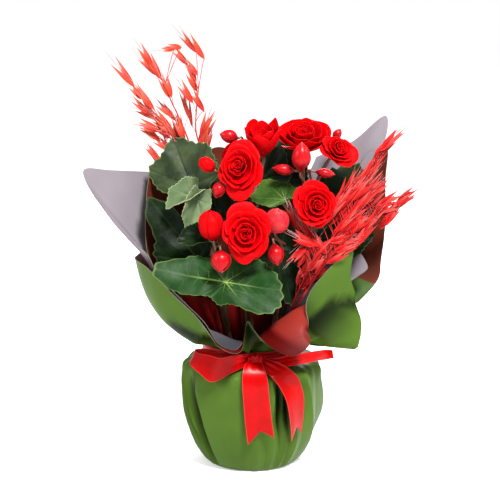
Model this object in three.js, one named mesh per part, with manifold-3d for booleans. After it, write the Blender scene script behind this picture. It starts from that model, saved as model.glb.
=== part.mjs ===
// A double red begonia in a nursery pot, in a gathered gift wrap with a ribbon and two sprays of dyed oats.
// Millimetres, +Z up, the front of the arrangement faces -Y. The origin is the middle of the flat base.
import * as THREE from 'three';
import { ParametricGeometry } from 'three/addons/geometries/ParametricGeometry.js';
import { LoftGeometry } from 'three/addons/geometries/LoftGeometry.js';
import { mergeVertices } from 'three/addons/utils/BufferGeometryUtils.js';
import Module from 'manifold-3d';

const wasm = await Module();
wasm.setup();

// Driving dimensions
const GAP = 0.3;
const POT = {
  height: 106, topRadius: 60, baseRadius: 42, wall: 1.2, rim: 2.2, rimDepth: 9, drainRadius: 4,
  drainCircle: 25,
};
const FILM = 1;
const PAPER = 0.9;
const SOIL_TOP = 96;
const STEM_FOOT = 78;
const NECK_LOW = 117.5;
const NECK_HIGH = 131.5;
const NECK_RADIUS = { outer: 50.2, greyLeft: 48.3, back: 46.6, greyRight: 44.6 };
const RIBBON = { thick: 1.1, band: 12, notch: 12 };
const BLADE = 1;
const PETAL = 1;

const vec = (x, y, z) => new THREE.Vector3(x, y, z);
const toVec = (p) => vec(p[0], p[1], p[2]);
const radians = THREE.MathUtils.degToRad;

// Solids
// Only the places of the vertices are kept, and vertices that share a place become one.
function weld(geometry) {
  const bare = new THREE.BufferGeometry();
  bare.setAttribute('position', geometry.getAttribute('position').clone());
  if (geometry.index) bare.setIndex(geometry.index.clone());
  return mergeVertices(bare, 1e-3);
}

function solidOf(geometry) {
  const welded = weld(geometry);
  const mesh = new wasm.Mesh({
    numProp: 3,
    vertProperties: new Float32Array(welded.attributes.position.array),
    triVerts: new Uint32Array(welded.index.array),
  });
  return new wasm.Manifold(mesh);
}

function geometryOf(solid) {
  const mesh = solid.getMesh();
  const geometry = new THREE.BufferGeometry();
  geometry.setAttribute('position', new THREE.BufferAttribute(new Float32Array(mesh.vertProperties), 3));
  geometry.setIndex(new THREE.BufferAttribute(new Uint32Array(mesh.triVerts), 1));
  return geometry;
}

function fuse(geometries) {
  let whole = solidOf(geometries[0]);
  for (const geometry of geometries.slice(1)) whole = whole.add(solidOf(geometry));
  return geometryOf(whole);
}

function cut(geometry, tools) {
  let left = solidOf(geometry);
  for (const tool of tools) left = left.subtract(solidOf(tool));
  return geometryOf(left);
}

// A sheet gets its thickness behind the face it is given: the same triangles on both faces, and a wall along
// each free edge, so a waved blade never crosses itself.
function thicken(surface, thickness) {
  const sheet = weld(surface);
  const faces = [];
  for (let i = 0; i < sheet.index.count; i += 3) {
    const [a, b, c] = [0, 1, 2].map((k) => sheet.index.getX(i + k));
    if (a !== b && b !== c && c !== a) faces.push([a, b, c]);
  }
  sheet.setIndex(faces.flat());
  sheet.computeVertexNormals();
  const place = sheet.attributes.position;
  const normal = sheet.attributes.normal;
  const count = place.count;
  const points = [];
  for (let i = 0; i < count; i += 1) points.push(place.getX(i), place.getY(i), place.getZ(i));
  for (let i = 0; i < count; i += 1) {
    points.push(place.getX(i) - thickness * normal.getX(i));
    points.push(place.getY(i) - thickness * normal.getY(i));
    points.push(place.getZ(i) - thickness * normal.getZ(i));
  }
  const edges = new Set(faces.flatMap(([a, b, c]) => [`${a},${b}`, `${b},${c}`, `${c},${a}`]));
  const index = [];
  for (const [a, b, c] of faces) {
    index.push(a, b, c, c + count, b + count, a + count);
    for (const [p, q] of [[a, b], [b, c], [c, a]]) {
      if (!edges.has(`${q},${p}`)) index.push(q, p, p + count, q, p + count, q + count);
    }
  }
  const solid = new THREE.BufferGeometry();
  solid.setAttribute('position', new THREE.Float32BufferAttribute(points, 3));
  solid.setIndex(index);
  return solid;
}

// A round stem along a smooth curve through the points, thinner towards its end.
const stem = (points, ...shape) => stemAlong(new THREE.CatmullRomCurve3(points.map(toVec)), ...shape);

function stemAlong(curve, startRadius, endRadius, sides, steps) {
  const frames = curve.computeFrenetFrames(steps, false);
  const sections = [];
  for (let i = 0; i <= steps; i += 1) {
    const centre = curve.getPointAt(i / steps);
    const radius = THREE.MathUtils.lerp(startRadius, endRadius, i / steps);
    const ring = [];
    for (let k = 0; k < sides; k += 1) {
      const angle = (k / sides) * 2 * Math.PI;
      ring.push(centre.clone()
        .addScaledVector(frames.normals[i], radius * Math.cos(angle))
        .addScaledVector(frames.binormals[i], radius * Math.sin(angle)));
    }
    sections.push(ring);
  }
  return outward(new LoftGeometry(sections, { capStart: true, capEnd: true }));
}

// Turns a closed shape right side out.
function outward(geometry) {
  const welded = weld(geometry);
  if (solidOf(welded).volume() > 0) return welded;
  const index = welded.index.array;
  for (let i = 0; i < index.length; i += 3) [index[i + 1], index[i + 2]] = [index[i + 2], index[i + 1]];
  return welded;
}

// A matrix that stands local +Z along axis at a place, with local +X as near to side as it can be.
function placed(place, axis, side = [1, 0, 0.01]) {
  const z = toVec(axis).normalize();
  const y = new THREE.Vector3().crossVectors(z, toVec(side)).normalize();
  const x = new THREE.Vector3().crossVectors(y, z);
  return new THREE.Matrix4().makeBasis(x, y, z).setPosition(toVec(place));
}

// The nursery pot and its soil
const potRadiusAt = (z) => THREE.MathUtils.lerp(POT.baseRadius, POT.topRadius, z / POT.height);

function nurseryPot() {
  const { height, wall, rim, rimDepth } = POT;
  const profile = [
    [0, 0], [POT.baseRadius, 0], [potRadiusAt(height - rimDepth), height - rimDepth],
    [potRadiusAt(height) + rim, height - rimDepth], [potRadiusAt(height) + rim, height],
    [potRadiusAt(height) - wall, height], [POT.baseRadius - wall, wall], [0, wall],
  ].map(([r, z]) => new THREE.Vector2(r, z));
  const shell = new THREE.LatheGeometry(profile, 20).rotateX(Math.PI / 2);
  const drains = [0, 1, 2, 3].map((k) => {
    const drain = new THREE.CylinderGeometry(POT.drainRadius, POT.drainRadius, 3 * wall, 6);
    const angle = radians(45 + 90 * k);
    return drain.rotateX(Math.PI / 2)
      .translate(POT.drainCircle * Math.cos(angle), POT.drainCircle * Math.sin(angle), wall / 2);
  });
  return cut(outward(shell), drains).translate(0, 0, FILM + GAP);
}

function pottingSoil(roots) {
  const bottom = FILM + 2 * GAP + POT.wall;
  const sideGap = POT.wall + 2 * GAP;
  const profile = [
    [0, bottom], [potRadiusAt(bottom) - sideGap - 1, bottom],
    [potRadiusAt(SOIL_TOP) - sideGap - 1, SOIL_TOP - 2], [potRadiusAt(SOIL_TOP) * 0.7, SOIL_TOP + 0.5],
    [0, SOIL_TOP],
  ].map(([r, z]) => new THREE.Vector2(r, z));
  const heap = new THREE.LatheGeometry(profile, 16).rotateX(Math.PI / 2);
  const depth = 40;
  const holes = roots.map(([x, y, radius]) => new THREE.CylinderGeometry(radius + GAP, radius + GAP, depth, 5)
    .rotateX(Math.PI / 2).translate(x, y, STEM_FOOT - GAP + depth / 2));
  return cut(outward(heap), holes);
}

// Film sheets. A column starts at the neck, at an angle round the pot from the front, positive to the right,
// and runs out through its points to the free edge.
const roundPot = (azimuth, radius, z) => {
  const angle = radians(azimuth);
  return [radius * Math.sin(angle), -radius * Math.cos(angle), z];
};

// Smooth interpolation in a list of values, open or closed.
function along(values, t, closed) {
  const count = values.length;
  const span = closed ? count : count - 1;
  const at = Math.min(Math.max(t, 0), 1) * span;
  const i = Math.min(Math.floor(at), span - 1);
  const f = at - i;
  const pick = (k) => values[closed ? (k + count) % count : Math.min(Math.max(k, 0), count - 1)];
  const [a, b, c, d] = [pick(i - 1), pick(i), pick(i + 1), pick(i + 2)];
  return b + 0.5 * f * (c - a + f * (2 * a - 5 * b + 4 * c - d + f * (3 * (b - c) + d - a)));
}

// A net is a list of rows, each a list of points, one a column.
function netPoint(net, u, v, closed, target) {
  const spots = net.map((row) => [0, 1, 2].map((k) => along(row.map((p) => p[k]), u, closed)));
  target.set(...[0, 1, 2].map((k) => along(spots.map((p) => p[k]), v, false)));
}

// The wrap's own bulge over the pot, with gathers that slant round it and are shallower over the pot's rim.
// Each gather: its angle at mid height, its slant in degrees a millimetre, its width in degrees and depth.
const WRAP_PROFILE = [[44, 0], [57, 12], [67, 36], [71.5, 62], [72, 90], [68.5, 108]];
const GATHER_MIDDLE = 60;
const GATHER_TOP = 90;
const WRAP_GATHERS = [
  [-90, -0.1, 6, -2.8], [-75, -0.27, 5, -3.5], [-65, -0.37, 6, -6], [-1, -0.03, 3, -1], [28, -0.1, 8, -6],
  [50, -0.1, 5, -3.5], [72, -0.2, 6, -2.5], [91, -0.1, 6, 2], [103, -0.1, 6, -3], [127, 0.08, 7, -3.5],
  [149, 0.09, 7, -3.5], [171, -0.06, 7, -3.5], [-167, -0.1, 7, -3.5], [-146, 0.05, 7, -3.5],
  [-124, 0.11, 7, -3.5], [-105, -0.03, 5, -3],
];

function wrapRadius(azimuth, radius, z) {
  let shift = 0;
  for (const [middle, slant, width, depth] of WRAP_GATHERS) {
    const round = azimuth - middle - slant * (z - GATHER_MIDDLE) + 180;
    const away = THREE.MathUtils.euclideanModulo(round, 360) - 180;
    shift += depth * Math.exp(-((away / width) ** 2));
  }
  const shown = Math.min(z / 30, 1) - 0.5 * Math.max((z - GATHER_TOP) / (POT.height - GATHER_TOP), 0);
  return radius + 1 + shift * shown;
}

const OUTER_COLUMNS = [
  { at: -165, out: [[-10, 58, 147], [-17, 67, 166], [-23, 79, 196]] },
  { at: -152, out: [[-26, 52, 147], [-36, 62, 167], [-45, 73, 200]] },
  { at: -140, out: [[-40, 44, 147], [-53, 55, 168], [-66, 65, 204]] },
  { at: -128, out: [[-54, 35, 148], [-76, 43, 173], [-89, 50, 213]] },
  { at: -116, out: [[-66, 24, 150], [-97, 28, 178], [-109, 32, 220]] },
  { at: -106, out: [[-73, 13, 151], [-103, 13, 179], [-116, 14, 223]] },
  { at: -96, out: [[-78, 1, 152], [-107, -3, 180], [-120, -5, 224]] },
  { at: -82, out: [[-77, -14, 151], [-107, -27, 179], [-121, -30, 225]] },
  { at: -70, out: [[-71, -28, 147], [-96, -47, 169], [-107, -56, 221]] },
  { at: -60, out: [[-65, -37, 144], [-84, -59, 161], [-90, -71, 207]] },
  { at: -50, out: [[-57, -46, 141], [-71, -68, 154], [-74, -81, 193]] },
  { at: -41, out: [[-48, -53, 139], [-59, -74, 149], [-58, -89, 180]] },
  { at: -33, out: [[-40, -58, 140], [-47, -79, 158], [-47, -93, 167]] },
  { at: -25, out: [[-31, -62, 139], [-35, -83, 155], [-34, -99, 150]] },
  { at: -16, out: [[-18, -66, 137], [-19, -85, 148], [-18, -101, 143]] },
  { at: -11, out: [[-12, -65, 136], [-12, -80, 146], [-9, -94, 147]] },
  { at: -7, out: [[-8, -63, 136], [-7, -74, 150], [-5, -86, 172]] },
  { at: -3, out: [[-3, -64, 134], [-2, -76, 144], [1, -88, 165]] },
  { at: 3, out: [[4, -63, 146], [8, -80, 151], [12, -94, 153]] },
  { at: 11, out: [[12, -61, 154], [19, -80, 156], [28, -100, 144]] },
  { at: 20, out: [[22, -59, 162], [31, -78, 163], [43, -102, 141]] },
  { at: 29, out: [[32, -59, 169], [42, -75, 170], [58, -91, 150]] },
  { at: 36, out: [[40, -57, 173], [48, -70, 179], [58, -82, 167]] },
  { at: 42, out: [[46, -54, 171], [53, -65, 184], [55, -78, 186]] },
  { at: 48, out: [[50, -49, 162], [59, -61, 181], [61, -74, 203]] },
  { at: 54, out: [[52, -44, 150], [68, -60, 172], [79, -68, 224]] },
  { at: 60, out: [[58, -42, 141], [77, -60, 167], [102, -56, 243]] },
  { at: 66, out: [[61, -38, 139], [82, -57, 160], [101, -52, 212]] },
  { at: 71, out: [[62, -34, 136], [84, -51, 150], [109, -48, 184]] },
  { at: 76, out: [[62, -29, 133], [82, -45, 141], [113, -46, 158]] },
  { at: 81, out: [[61, -23, 131], [78, -37, 133], [107, -45, 132]] },
  { at: 92, out: [[61, -4, 133], [73, -8, 141], [90, 0, 158]] },
  { at: 102, out: [[61, 7, 137], [74, 8, 150], [90, 16, 174]] },
  { at: 112, out: [[59, 18, 141], [73, 24, 161], [88, 32, 190]] },
  { at: 125, out: [[51, 31, 144], [65, 39, 164], [78, 49, 194]] },
  { at: 138, out: [[41, 43, 146], [54, 53, 166], [65, 64, 198]] },
  { at: 151, out: [[27, 51, 147], [37, 60, 166], [45, 72, 197]] },
  { at: 165, out: [[12, 58, 147], [18, 67, 166], [23, 79, 196]] },
  { at: 180, out: [[1, 60, 147], [0, 69, 166], [0, 81, 195]] },
];

function outerWrapPoint(u, v, target) {
  const turn = OUTER_COLUMNS.map((column) => column.at);
  const wrapped = [...turn, turn[0] + 360, turn[1] + 360];
  const first = turn[turn.length - 1] - 360;
  const at = Math.min(u * turn.length, turn.length - 1e-9);
  const i = Math.floor(at);
  const before = i === 0 ? first : wrapped[i - 1];
  const azimuth = along([before, wrapped[i], wrapped[i + 1], wrapped[i + 2] ?? turn[2] + 360],
    (1 + at - i) / 3, false);
  const pot = WRAP_PROFILE.map(([r, z]) => roundPot(azimuth, wrapRadius(azimuth, r, z), z));
  const neck = [NECK_LOW, NECK_HIGH].map((z) => roundPot(azimuth, NECK_RADIUS.outer, z));
  const collar = [0, 1, 2].map((row) => [0, 1, 2].map(
    (k) => along(OUTER_COLUMNS.map((column) => column.out[row][k]), u, true)));
  const spots = [...pot, ...neck, ...collar];
  target.set(...[0, 1, 2].map((k) => along(spots.map((p) => p[k]), v, false)));
}

function outerWrap(columns, rows) {
  const wall = new ParametricGeometry((u, v, target) => outerWrapPoint(u, v, target), columns, rows);
  const rim = [];
  for (let i = 0; i <= columns; i += 1) {
    const target = new THREE.Vector3();
    outerWrapPoint(i / columns, 0, target);
    rim.push(target);
  }
  const floor = new ParametricGeometry((u, v, target) => {
    target.copy(rim[Math.round(u * columns)]).multiplyScalar(v);
  }, columns, 1);
  return thicken(joinSurfaces([floor, wall]), FILM);
}

function joinSurfaces(surfaces) {
  const points = [];
  const index = [];
  for (const surface of surfaces) {
    const start = points.length / 3;
    points.push(...surface.attributes.position.array);
    index.push(...Array.from(surface.index.array, (i) => i + start));
  }
  const joined = new THREE.BufferGeometry();
  joined.setAttribute('position', new THREE.Float32BufferAttribute(points, 3));
  joined.setIndex(index);
  return joined;
}

const GREY_LEFT_COLUMNS = [
  { at: -122, out: [[-84, 30, 180], [-92, 34, 240], [-100, 36, 305]] },
  { at: -108, out: [[-93, 16, 180], [-104, 18, 235], [-125, 18, 309]] },
  { at: -98, out: [[-98, 3, 180], [-110, 4, 230], [-150, 6, 312]] },
  { at: -90, out: [[-100, -9, 178], [-112, -8, 228], [-173, -10, 316]] },
  { at: -85, out: [[-100, -16, 176], [-113, -15, 226], [-172, -16, 304]] },
  { at: -80, out: [[-98, -23, 174], [-110, -22, 224], [-155, -24, 278]] },
  { at: -74, out: [[-94, -32, 170], [-106, -31, 217], [-134, -32, 252]] },
  { at: -68, out: [[-87, -40, 166], [-100, -42, 206], [-110, -39, 234]] },
  { at: -61, out: [[-79, -48, 161], [-91, -55, 192], [-99, -55, 219]] },
  { at: -53, out: [[-70, -56, 157], [-78, -66, 179], [-83, -70, 203]] },
  { at: -45, out: [[-60, -63, 152], [-64, -74, 170], [-67, -79, 189]] },
  { at: -36, out: [[-49, -68, 153], [-49, -80, 165], [-48, -89, 172]] },
  { at: -26, out: [[-36, -72, 152], [-35, -84, 160], [-34.5, -98, 153]] },
  { at: -16, out: [[-20, -73, 147], [-19, -85, 153], [-18, -99.5, 146]] },
  { at: -10, out: [[-11, -69, 144], [-11, -79, 150], [-9.5, -90, 151]] },
];

const BACK_COLUMNS = [
  { at: -176, out: [[-4, 60, 184], [-4, 70, 250], [-8, 76, 318]] },
  { at: -155, out: [[-30, 54, 182], [-34, 62, 250], [-42, 68, 326]] },
  { at: -135, out: [[-60, 40, 180], [-66, 47, 245], [-72, 50, 300]] },
  { at: -115, out: [[-74, 21, 178], [-87, 27, 240], [-92, 30, 303]] },
  { at: -100, out: [[-83, 6, 177], [-99, 8, 235], [-106, 10, 309]] },
  { at: -92, out: [[-86, -5, 175], [-103, -5, 225], [-110, -4, 285]] },
  { at: -84, out: [[-85, -14, 173], [-103, -17, 210], [-111, -20, 243]] },
  { at: -76, out: [[-82, -23, 170], [-98, -28, 198], [-104, -34, 219]] },
  { at: -66, out: [[-74, -35, 165], [-85, -44, 186], [-90, -50, 208]] },
  { at: -54, out: [[-65, -48, 156], [-69, -57, 175], [-73, -64, 194]] },
];

const BACK_RIGHT_COLUMNS = [
  { at: 76, out: [[72, -10, 155], [92, -8, 165], [112, -6, 173]] },
  { at: 83, out: [[80, -3, 167], [104, 2, 182], [133, 8, 193]] },
  { at: 90, out: [[84, 4, 174], [112, 10, 198], [137, 12, 215]] },
  { at: 100, out: [[82, 14, 178], [112, 22, 215], [142, 24, 251]] },
  { at: 112, out: [[76, 26, 180], [104, 40, 235], [143, 50, 290]] },
  { at: 124, out: [[68, 38, 182], [94, 56, 245], [144, 80, 331]] },
  { at: 140, out: [[52, 48, 184], [74, 64, 250], [96, 78, 306]] },
  { at: 160, out: [[26, 58, 184], [38, 69, 250], [50, 78, 302]] },
];

const GREY_RIGHT_COLUMNS = [
  { at: 66, out: [[68, -26, 158], [88, -26, 184], [103, -24, 203]] },
  { at: 72, out: [[72, -19, 164], [94, -20, 194], [121, -20, 213]] },
  { at: 79, out: [[75, -10, 170], [97, -12, 205], [110, -16, 232]] },
  { at: 88, out: [[77, 0, 174], [98, 0, 204], [108, 0, 222]] },
  { at: 98, out: [[74, 11, 178], [93, 15, 212], [104, 18, 236]] },
  { at: 108, out: [[69, 20, 182], [89, 30, 232], [108, 38, 280]] },
  { at: 115, out: [[64, 26, 184], [87, 35, 252], [121, 52, 320]] },
  { at: 121, out: [[60, 31, 186], [84, 40, 256], [141, 62, 328]] },
  { at: 127, out: [[55, 36, 187], [81, 46, 260], [144, 68, 361]] },
  { at: 138, out: [[45, 41, 188], [68, 53, 262], [108, 71, 332]] },
  { at: 152, out: [[28, 48, 188], [44, 59, 258], [70, 70, 316]] },
];

// An inner sheet starts a little below the ribbon, passes through the neck and opens.
function innerSheet(columns, radius, slices, stacks) {
  const net = [
    columns.map(({ at }) => roundPot(at, radius, NECK_LOW - 1)),
    columns.map(({ at }) => roundPot(at, radius, NECK_HIGH + NECK_RADIUS.outer - radius)),
    ...[0, 1, 2].map((row) => columns.map(({ out }) => out[row])),
  ];
  const place = (u, v, target) => netPoint(net, u, v, false, target);
  const surface = new ParametricGeometry(place, slices, stacks);
  return thicken(surface, PAPER);
}

// The ribbon: strips along a centre line, each with a width direction at every point.
function strip(points, forked = false) {
  const [slices, lengthwise] = forked ? [2, 2] : [1, 1];
  const surface = new ParametricGeometry((u, v, target) => {
    const at = [0, 1, 2].map((k) => along(points.map(({ at: p }) => p[k]), v, false));
    const way = [0, 1, 2].map((k) => along(points.map(({ across: p }) => p[k]), v, false));
    const width = along(points.map(({ width: w }) => w), v, false);
    target.set(...at).addScaledVector(toVec(way).normalize(), width * (u - 0.5));
    if (forked && v > 0.999) target.z += RIBBON.notch * (1 - Math.abs(2 * u - 1));
  }, slices, (points.length - 1) * lengthwise);
  return outward(thicken(surface, RIBBON.thick));
}

const BOW = {
  leftLoop: [
    { at: [2, -57, 124.5], across: [0, 0.1, 1], width: 10 },
    { at: [-5, -60, 125], across: [0, 0.1, 1], width: 12 },
    { at: [-21, -67, 122], across: [0.1, 0.1, 1], width: 19 },
    { at: [-36, -73, 118], across: [0.33, 0.05, 0.94], width: 27 },
    { at: [-49, -67, 122.5], across: [0.46, 0, 0.89], width: 22 },
    { at: [-60, -57, 126], across: [0.6, 0, 0.8], width: 15 },
    { at: [-60, -49, 128], across: [0.3, 0, 0.95], width: 12 },
    { at: [-46, -53, 129], across: [0.1, 0, 1], width: 12 },
    { at: [-26, -57.5, 127], across: [0, 0, 1], width: 10 },
    { at: [2, -57, 124.5], across: [0, 0, 1], width: 9 },
  ],
  rightLoop: [
    { at: [6, -57, 124.5], across: [0, 0.2, 1], width: 9 },
    { at: [21, -62, 122], across: [0, 0.4, 0.9], width: 11 },
    { at: [40, -62, 125], across: [0, 0.6, 0.8], width: 12 },
    { at: [61, -52, 126], across: [0, 0.6, 0.8], width: 12 },
    { at: [76, -43, 126.5], across: [0, 0.5, 0.85], width: 10 },
    { at: [84, -36, 124.5], across: [0, 0.3, 0.95], width: 8 },
    { at: [75, -35, 122.5], across: [0, 0, 1], width: 9 },
    { at: [56, -42, 122], across: [0, 0, 1], width: 9 },
    { at: [36, -52, 123], across: [0, 0, 1], width: 9 },
    { at: [8, -56, 124.5], across: [0, 0, 1], width: 9 },
  ],
  middleTail: [
    { at: [3, -59, 125], across: [1, 0, 0], width: 12 },
    { at: [2, -70, 121], across: [1, 0, 0], width: 20 },
    { at: [3, -78, 109], across: [1, 0, 0], width: 26 },
    { at: [4.5, -79.5, 89], across: [1, 0, 0], width: 27 },
    { at: [6.5, -79, 67], across: [1, 0, 0.1], width: 27.5 },
    { at: [9.3, -76, 43], across: [0.97, 0, 0.25], width: 28 },
  ],
  rightTail: [
    { at: [7, -59, 125], across: [1, 0, 0.4], width: 10 },
    { at: [20, -67, 120], across: [0.95, 0.05, 0.35], width: 20 },
    { at: [32, -72, 112], across: [0.97, 0.15, 0.1], width: 25 },
    { at: [39.5, -70, 100], across: [0.85, 0.5, 0], width: 26 },
    { at: [44.5, -68, 84], across: [0.74, 0.67, 0], width: 25 },
    { at: [46, -66.5, 64], across: [0.62, 0.78, 0], width: 24 },
    { at: [46, -65, 44], across: [0.5, 0.86, 0.1], width: 23 },
  ],
  knot: [3.5, -58.5, 123.6],
};

function ribbon() {
  const inner = NECK_RADIUS.outer + 2 * GAP;
  const middle = (NECK_LOW + NECK_HIGH) / 2;
  const half = RIBBON.band / 2;
  const profile = [
    [inner, middle - half], [inner + RIBBON.thick, middle - half],
    [inner + RIBBON.thick, middle + half],
    [inner, middle + half], [inner, middle - half],
  ].map(([r, z]) => new THREE.Vector2(r, z));
  const band = outward(new THREE.LatheGeometry(profile, 24).rotateX(Math.PI / 2));
  const knot = new THREE.SphereGeometry(1, 8, 5).scale(8.5, 8, 6.4).applyMatrix4(placed(BOW.knot, [0, 0, 1]));
  return fuse([
    band, knot, strip(BOW.leftLoop), strip(BOW.rightLoop),
    strip(BOW.middleTail, true), strip(BOW.rightTail, true),
  ]);
}

// Leaves. The reach is the blade's length from the top of its stalk, every 45 degrees round from the tip.
const HEART = [1, 0.86, 0.74, 0.66, 0.14, 0.62, 0.7, 0.84];

function leafBlade(leaf, teeth = 8) {
  const reach = leaf.reach ?? HEART;
  const surface = new ParametricGeometry((u, v, target) => {
    const turn = 1 - u;
    const angle = turn * 2 * Math.PI;
    const tooth = 1 + 0.045 * Math.cos(teeth * angle) * v;
    const radius = leaf.length * v * tooth * along(reach, turn, true);
    const wave = 0.045 * leaf.length * Math.cos(5 * angle + leaf.length) * v * v;
    const cup = (leaf.cup ?? 0.12) * leaf.length * v * v;
    const fold = (leaf.fold ?? 0) * Math.abs(radius * Math.sin(angle));
    const droop = (leaf.droop ?? 0.1) * leaf.length * (v * Math.max(Math.cos(angle), 0)) ** 2;
    const side = radius * Math.sin(angle) * (leaf.wide ?? 1);
    target.set(radius * Math.cos(angle), side, wave + cup + fold - droop);
  }, 2 * teeth, 2);
  return thicken(surface, BLADE).applyMatrix4(placed(leaf.at, leaf.facing, leaf.tip));
}

const STEMS = [
  {
    name: 'leafy_stem_left',
    path: [[-22, 8, STEM_FOOT], [-26, 6, 130], [-40, 2, 190], [-52, 2, 250], [-56, 3, 285]],
    leaves: [
      {
        at: [-63, -8, 298], facing: [-0.25, -0.85, 0.42], tip: [-0.4, 0.2, 0.9], length: 55,
        reach: [1, 0.88, 0.88, 0.72, 0.44, 0.24, 0.16, 0.12, 0.14, 0.26, 0.38, 0.46, 0.56, 0.7, 0.8, 0.9],
        from: [[-52, 2, 250], [-58, 4, 280]],
      },
      {
        at: [-41, -5, 276], facing: [0.3, -0.9, 0.15], tip: [0.02, 0.15, 1], length: 49, wide: 0.52,
        from: [[-50, 2, 240], [-44, 2, 262]],
      },
      {
        at: [-62, -27, 290], facing: [-0.1, -0.75, 0.65], tip: [-0.85, -0.25, -0.4], length: 28, wide: 0.6,
        from: [[-50, 2, 240], [-55, -6, 268]], cup: 0.2, fold: 0.7,
      },
      {
        at: [-56, -31, 287], facing: [0.1, -0.95, 0.1], tip: [-0.35, 0.05, -0.95], length: 31, wide: 0.55,
        from: [[-48, 2, 232], [-49, -8, 266]], cup: 0.1, fold: 0.6,
      },
    ],
  },
  {
    name: 'leafy_stem_front',
    path: [[-18, -16, STEM_FOOT], [-22, -19, 130], [-33, -28, 178], [-40, -38, 222], [-40, -44, 240]],
    leaves: [
      {
        at: [-54, -31, 222], facing: [-0.12, -0.96, 0.25], tip: [-0.62, 0.2, 0.76], length: 80,
        reach: [1, 0.68, 0.56, 0.46, 0.36, 0.26, 0.18, 0.14, 0.18, 0.24, 0.28, 0.3, 0.32, 0.36, 0.42, 0.56],
        from: [[-33, -28, 178], [-46, -24, 208]], droop: 0,
      },
      {
        at: [-27, -68, 209], facing: [0, -0.72, 0.7], tip: [-0.18, -0.68, -0.7], length: 72,
        reach: [0.3, 0.34, 0.54, 0.88, 0.78, 0.72, 0.58, 0.46, 0.4, 0.4, 0.48, 0.7, 1, 0.72, 0.36, 0.34],
        from: [[-24, -20, 142], [-28, -46, 184]], droop: 0.12, cup: 0.04,
      },
      {
        at: [-52, -47, 253.5], facing: [0.1, -0.8, 0.6], tip: [-0.93, -0.1, -0.35], length: 25, wide: 0.62,
        fold: 0.3, from: [[-40, -38, 222], [-40, -38, 244]],
      },
    ],
  },
  {
    name: 'leafy_stem_middle',
    path: [[0, -4, STEM_FOOT], [0, -7, 130], [-4, -16, 190], [-10, -21, 250], [-12, -22, 288]],
    leaves: [
      {
        at: [-22, -29, 267], facing: [-0.05, -0.95, 0.3], tip: [0.05, 0.1, 1], length: 34, wide: 0.72,
        from: [[-9, -20, 238], [-16, -24, 254]],
      },
    ],
  },
  {
    name: 'leafy_stem_right',
    path: [[19, -12, STEM_FOOT], [21, -15, 130], [29, -22, 190], [37, -26, 240], [42, -26, 262]],
    leaves: [
      {
        at: [28, -36, 238], facing: [0.2, -0.95, 0.2], tip: [0.2, -0.1, -0.97], length: 58, wide: 0.6,
        from: [[28, -21, 182], [29, -24, 216]], cup: 0.03, droop: 0,
      },
      {
        at: [34, -30, 287], facing: [-0.1, -0.62, 0.78], tip: [-0.92, 0.05, 0.2], length: 36, wide: 0.9,
        reach: [0.96, 0.84, 0.5, 0.34, 0.26, 0.2, 0.18, 0.16, 0.26, 0.4, 0.44, 0.5, 0.6, 0.72, 0.94, 1],
        from: [[38, -26, 246], [38, -22, 270]],
      },
    ],
  },
  {
    name: 'leafy_stem_back_right',
    path: [[22, 12, STEM_FOOT], [26, 12, 130], [44, 10, 200], [59, 8, 258], [66, 6, 296]],
    leaves: [
      {
        at: [89, 4, 262], facing: [0.12, -0.92, 0.36], tip: [0.4, 0.15, 0.9], length: 60, wide: 0.85,
        from: [[54, 9, 235], [74, 14, 250]],
      },
      {
        at: [92, -14, 244], facing: [0.2, -0.88, 0.4], tip: [0.74, 0.08, 0.64], length: 44, wide: 0.8,
        from: [[44, 10, 200], [70, 2, 222]],
      },
    ],
  },
  {
    name: 'leafy_stem_back',
    path: [[-5, 24, STEM_FOOT], [-6, 27, 130], [-8, 34, 190], [-4, 40, 250], [-2, 42, 285]],
    leaves: [
      {
        at: [-18, 34, 270], facing: [-0.1, 0.3, 0.95], tip: [-0.3, 0.88, 0.35], length: 30,
        from: [[-7, 36, 210], [-12, 37, 246]],
      },
      {
        at: [29, 28.5, 302], facing: [0.1, -0.9, 0.4], tip: [0.2, 0.2, 0.95], length: 41,
        from: [[-7, 35, 190], [18, 38, 256]],
      },
      {
        at: [12, 23, 300], facing: [-0.1, -0.9, 0.35], tip: [-0.15, 0.2, 1], length: 42,
        from: [[-4, 40, 240], [6, 36, 270]],
      },
    ],
  },
];

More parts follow.
